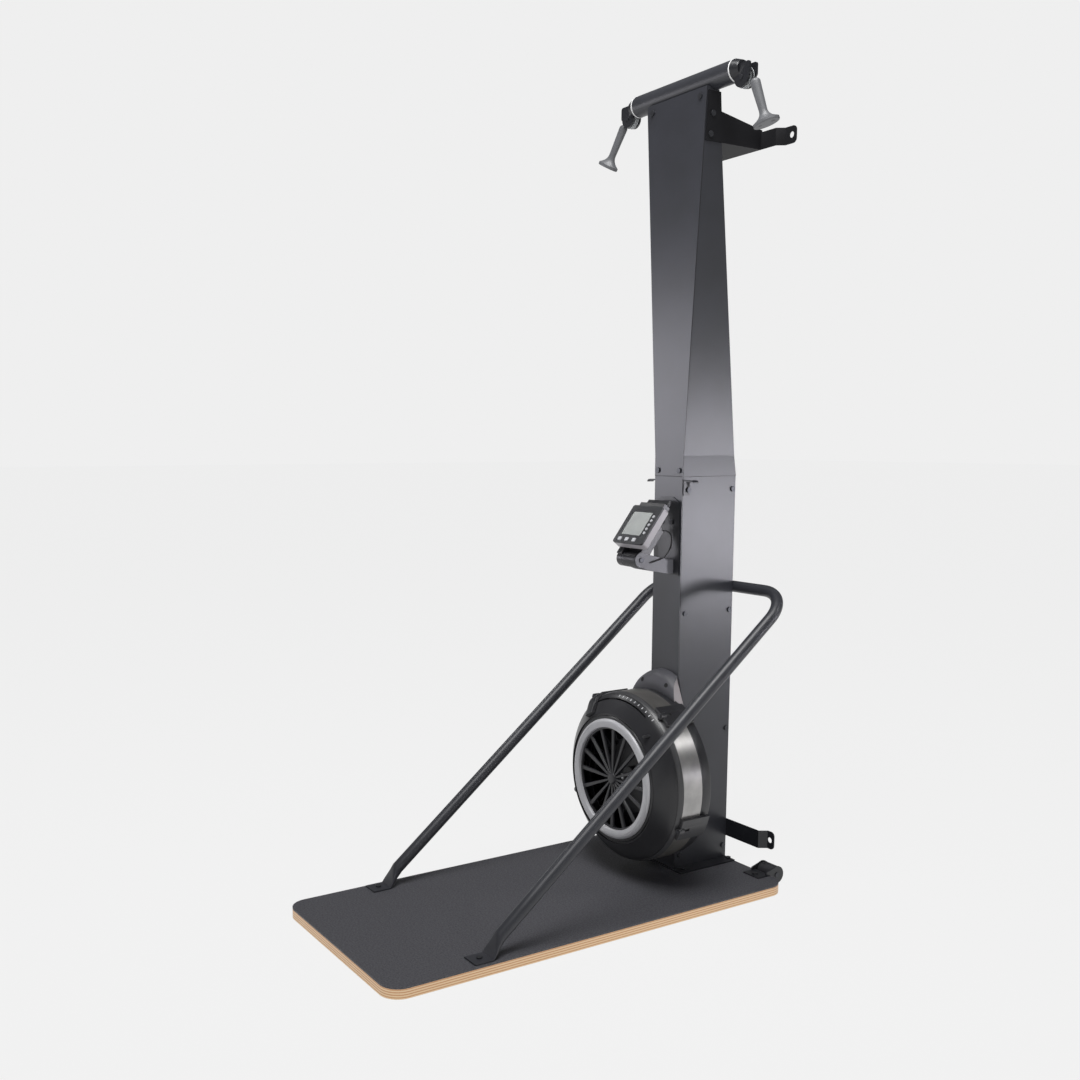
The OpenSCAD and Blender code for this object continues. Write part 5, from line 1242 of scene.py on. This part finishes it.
@dataclass
class Handrail:
    """Bent tube rail with flattened feet."""

    x: float = 262.0
    bar_y: float = 598.3
    bar_z: float = 821.0
    r: float = 16.0
    bend_r: float = 97.0
    foot_y: float = -383.0
    foot_w: float = 52.0
    deck_z: float = 28.0

    def leg_end(self) -> tuple[Vector, Vector]:
        """Give the leg's lower centre and the unit direction up the leg."""
        low = Vector((self.x, self.foot_y + 38, self.deck_z + 29))
        high = Vector((self.x, self.bar_y, self.bar_z))
        return low, (high - low).normalized()

    def leg(self, side: Side) -> None:
        """Loft one leg: round tube, squashed into a flat foot plate.

        Args:
            side: Which leg.
        """
        low, up = self.leg_end()
        top = Vector((self.x, self.bar_y, self.bar_z)) - up * self.bend_r
        across, rise = Vector((1, 0, 0)), Vector((0, 0, 1))
        normal = up.cross(across)
        lift = -normal if normal.z < 0 else normal
        half, n = self.foot_w / 2, 48
        plate_y = (self.foot_y - half, self.foot_y - 6, self.foot_y + 14, self.foot_y + half - 2)
        rings = [flat_ring(Vector((self.x, y, self.deck_z + 2.2)), across, rise, half, 2.0, n) for y in plate_y]
        start = Vector((self.x, plate_y[-1], self.deck_z + 2.5))
        goal = low + up * 26
        for i in range(1, 9):
            t = i / 8
            e = t * t * (3 - 2 * t)
            rings.append(flat_ring(start.lerp(goal, t), across, rise.lerp(lift, t).normalized(),
                                   half + (self.r - half) * e, 2.2 + (self.r - 2.2) * e, n, 1 - e))
        for i in range(1, 9):
            rings.append(flat_ring(goal.lerp(top, i / 8), across, lift, self.r, self.r, n, 0.0))
        bm = loft(rings)
        bmesh.ops.scale(bm, vec=(side.value, 1, 1), verts=bm.verts)
        finish_piece(solid(bm, f"{side.name.lower()}_handrail_leg_dressed"), COAT_TUBE, "frame", 40)

    def bar(self) -> None:
        """Run the rear bar and both bends as one smooth tube."""
        _, up = self.leg_end()
        bend = self.bend_r
        centre = Vector((self.x, self.bar_y, self.bar_z)) - up * bend - Vector((bend, 0, 0))
        right = []
        for i in range(25):
            a = pi / 2 * i / 24
            right.append(centre + Vector((bend * cos(a), 0, 0)) + up * (bend * sin(a)))
        left = [Vector((-p.x, p.y, p.z)) for p in reversed(right)]
        bar = solid(tube([tuple(p) for p in right + left], self.r, 48), "handrail_rear_bar_dressed")
        finish_piece(bar, COAT_TUBE, "frame", 50)

    def build(self) -> None:
        """Make both legs and the bar."""
        for side in Side:
            self.leg(side)
        self.bar()


@dataclass
class Body:
    """Platform, column, brackets, hooks, rollers and hidden drive parts.

    fixed names each node on the frame with its finish, edge rounding and least rounded angle.
    """

    # The darker bracket coat and the top bracket's coat in this table carry painted shade
    fixed: tuple[tuple[str, Finish, float, float], ...] = (
        ("platform_board", PLY, 0.8, 50),
        ("platform_mat", MAT, 0.6, 50),
        ("column_foot", COAT_PAINTED_SHADE, 0.6, 50),
        ("lower_column", COAT, 0.9, 40),
        ("lower_front_cover", COAT, 0.9, 40),
        ("upper_column", COAT, 0.9, 40),
        ("upper_front_cover", COAT, 0.9, 40),
        ("accessory_hooks", COAT_PAINTED_SHADE, 0.6, 50),
        ("upper_wall_bracket", COAT_SHADE, 0.5, 50),
        ("lower_wall_bracket", COAT_PAINTED_SHADE, 0.5, 50),
        ("wheel_forks", COAT_PAINTED_SHADE, 0.5, 50),
        ("bolts_and_pins", ZINC, 0.35, 40),
        ("return_bungees", BUNGEE, 0.0, 35),
        ("top_pulley_carrier", COAT_PAINTED_SHADE, 0.4, 35),
        ("axle_bearings", STEEL, 0.4, 50),
        ("axle_bracket", COAT_PAINTED_SHADE, 0.6, 50),
    )

    def build(self) -> None:
        """Dress the plain sheet and turned parts."""
        for node, finish, edge_mm, angle in self.fixed:
            dress(node, finish, "frame", edge_mm, angle)
        dress("flywheel_axle", STEEL, "flywheel", 0.4)
        dress("drum_clutches", STEEL, "flywheel", 0.4)
        for name in (side.name.lower() for side in Side):
            dress(f"{name}_cord_drum", ACETAL, f"{name}_drum", 0.4)
            dress(f"{name}_transport_roller", TYRE, f"{name}_roller", 2.5)


@dataclass
class Seams:
    """Dark lines where the column's sheets meet: painted shade for the shadow in the seams."""

    width: float = 1.8
    proud: float = 0.12
    joint_z: float = 1134.5
    flare_z: float = 1190.0
    front_y: float = 389.9

    def strip(self, a: Point, b: Point, out: Point) -> Obj:
        """Lay a thin bead between two points.

        Args:
            a: First end.
            b: Second end.
            out: Direction away from the sheet.

        Returns:
            An object to be joined.
        """
        p, q, n = Vector(a), Vector(b), Vector(out).normalized()
        across = (q - p).cross(n).normalized() * (self.width / 2)
        section = ((-1, -0.4), (-0.7, self.proud), (0.7, self.proud), (1, -0.4))
        return solid(loft([[end + across * u + n * v for u, v in section] for end in (p, q)]), "seam")

    def build(self) -> None:
        """Lay the beads round the joint and beside the front panels."""
        z, y, bend = self.joint_z, self.front_y, self.flare_z
        parts = [self.strip((-57.5, 387.2, z), (57.5, 387.2, z), (0, -1, 0))]
        for s in (side.value for side in Side):
            parts.append(self.strip((s * 57.3, 390.5, z), (s * 57.3, 581, z), (s, 0, 0)))
            parts.append(self.strip((s * 57.0, y, 34), (s * 57.0, y, z - 1), (s, 0, 0)))
            parts.append(self.strip((s * 58.0, y, z + 1), (s * 58.0, y, bend), (s, 0, 0)))
            parts.append(self.strip((s * 58.0, y, bend), (s * 118.0, y, 2126), (s * (2128 - bend), 0, -60)))
        finish_piece(join(parts, "column_seams"), SHADE_BLACK, "frame", 60)


def corners(w: float, h: float, r: float) -> list[tuple[float, float]]:
    """Trace a rectangle with round corners.

    Args:
        w: Width.
        h: Height.
        r: Corner radius.

    Returns:
        Points in order.
    """
    out = []
    steps = 6
    for k, (sx, sz) in enumerate(((1, 1), (-1, 1), (-1, -1), (1, -1))):
        for i in range(steps + 1):
            a = pi / 2 * (k + i / steps)
            out.append((sx * (w / 2 - r) + r * cos(a), sz * (h / 2 - r) + r * sin(a)))
    return out


def flat_ring(centre: Vector, across: Vector, lift: Vector, a: float, b: float, n: int,
              square: float = 1.0) -> list[Point]:
    """Trace a ring that runs from an oval to a flat rectangle.

    Args:
        centre: The ring's middle.
        across: Direction of its first half size.
        lift: Direction of its second half size.
        a: First half size.
        b: Second half size.
        n: Count of points.
        square: 1 for a rectangle, 0 for an oval.

    Returns:
        The points.
    """
    out = []
    power = 1 - 0.85 * square
    for j in range(n):
        t = TURN * (j + 0.5) / n
        c, s = cos(t), sin(t)
        x = copysign(abs(c) ** power, c)
        y = copysign(abs(s) ** power, s)
        out.append(tuple(centre + across * (a * x) + lift * (b * y)))
    return out


def curve_through(knots: Sequence[Vector], per: int) -> list[Point]:
    """Run a smooth Catmull-Rom line through knots.

    Args:
        knots: The points passed.
        per: Steps between two knots.

    Returns:
        The points.
    """
    ends = [knots[0] * 2 - knots[1], *knots, knots[-1] * 2 - knots[-2]]
    out = []
    for i in range(1, len(ends) - 2):
        p0, p1, p2, p3 = ends[i - 1 : i + 3]
        for k in range(per):
            t = k / per
            out.append(tuple(0.5 * (2 * p1 + (p2 - p0) * t + (2 * p0 - 5 * p1 + 4 * p2 - p3) * t * t
                                    + (3 * p1 - p0 - 3 * p2 + p3) * t ** 3)))
    out.append(tuple(knots[-1]))
    return out


@dataclass
class Studio:
    """Pale floor, soft lights and the camera."""

    place: Point = (2.4805, -1.7390, 1.2262)
    turn: Point = (82.390, -0.018, 58.057)
    lens: float = 39.036
    shift: tuple[float, float] = (0.0469, 0.0544)
    pale: str = "#efefef"
    floor_tone: str = "#3a3a3a"
    glow: float = 0.98
    cool: str = "#f3f1fb"

    def light(self, name: str, spot: Point, aim: Point, size: float, power: float, spread: float = 180,
              tint: str = "#ffffff") -> None:
        """Add a square area light.

        Args:
            name: The light's name.
            spot: Its place in metres.
            aim: The point that it faces.
            size: Side in metres.
            power: Watts.
            spread: Full angle of its cone, in degrees.
            tint: Its colour.
        """
        lamp = bpy.data.lights.new(name, "AREA")
        lamp.size = size
        lamp.energy = power
        lamp.spread = radians(spread)
        lamp.color = linear(tint)[:3]
        obj = bpy.data.objects.new(name, lamp)
        obj.location = spot
        obj.rotation_euler = (Vector(aim) - Vector(spot)).to_track_quat("-Z", "Y").to_euler()
        bpy.context.scene.collection.objects.link(obj)

    def floor(self) -> None:
        """Lay the pale floor: translucent lit paper, so that it glows as evenly as the backdrop."""
        bm = bmesh.new()
        bmesh.ops.create_grid(bm, x_segments=4, y_segments=4, size=60)
        floor = solid(bm, "studio_floor", 1.0)
        paper = bpy.data.materials.new("lit_paper")
        paper.use_nodes = True
        shader = paper.node_tree.nodes["Principled BSDF"]
        shader.inputs["Base Color"].default_value = linear(self.floor_tone)
        shader.inputs["Roughness"].default_value = 0.9
        shader.inputs["Specular IOR Level"].default_value = 0.0
        shader.inputs["Emission Color"].default_value = linear(self.pale)
        shader.inputs["Emission Strength"].default_value = self.glow
        floor.data.materials.append(paper)

    def world(self) -> None:
        """Light the scene from a pale backdrop that is brightest near the horizon."""
        world = bpy.data.worlds.new("studio")
        world.use_nodes = True
        tree = world.node_tree
        back = tree.nodes["Background"]
        place = add(tree, "ShaderNodeTexCoord")
        split = add(tree, "ShaderNodeSeparateXYZ", i0=place.outputs["Generated"])
        fall = add(tree, "ShaderNodeMapRange", {"From Min": -0.01, "From Max": 0.15, "To Min": 0.85, "To Max": 0.13},
                   i0=split.outputs[2])
        seen = add(tree, "ShaderNodeLightPath")
        keep = add(tree, "ShaderNodeMath", {"operation": "MAXIMUM"}, i0=fall.outputs[0],
                   i1=seen.outputs["Is Camera Ray"])
        back.inputs[0].default_value = linear(self.pale)
        tree.links.new(keep.outputs[0], back.inputs[1])
        bpy.context.scene.world = world

    def build(self) -> None:
        """Make the floor, the lights, the world and the camera."""
        self.floor()
        self.world()
        self.light("key", (-2.7, -1.95, 1.4), (0, 0.38, 1.35), 1.1, 1.6, 44, self.cool)
        self.light("side", (2.72, 2.92, 0.75), (0.06, 0.48, 1.0), 0.65, 0.56, 20, self.cool)
        self.light("band", (2.3, 2.35, 2.9), (0.2, 0.33, 0.46), 0.6, 0.3, 22)
        self.light("rim", (3.6, 0.0, 0.95), (0.24, 0.3, 0.33), 0.5, 0.1, 30)
        self.light("fill", (-3.0, -0.6, 3.1), (0.0, 0.3, 0.38), 0.8, 0.24, 16)
        self.light("top", (0.9, -0.9, 5.0), (0, 0, 0.0), 2.4, 210)
        lens = bpy.data.cameras.new("photo")
        lens.lens = self.lens
        lens.sensor_width = 36
        lens.shift_x, lens.shift_y = self.shift
        lens.clip_end = 200
        camera = bpy.data.objects.new("photo", lens)
        camera.location = self.place
        camera.rotation_euler = [radians(a) for a in self.turn]
        bpy.context.scene.collection.objects.link(camera)
        bpy.context.scene.camera = camera
        bpy.context.scene.view_settings.view_transform = "Standard"


def main() -> None:
    """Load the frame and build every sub-assembly."""
    logging.basicConfig(level=logging.INFO)
    FRAME.update(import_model())
    Studio().build()
    rounds = ring_tree()
    rows = row_tree()
    Body().build()
    Seams().build()
    Fan().build(rounds)
    NeckCover().build()
    Crossbar().build()
    Handles().build()
    Monitor().build(rows)
    Handrail().build()


if __name__ == "__main__":
    main()
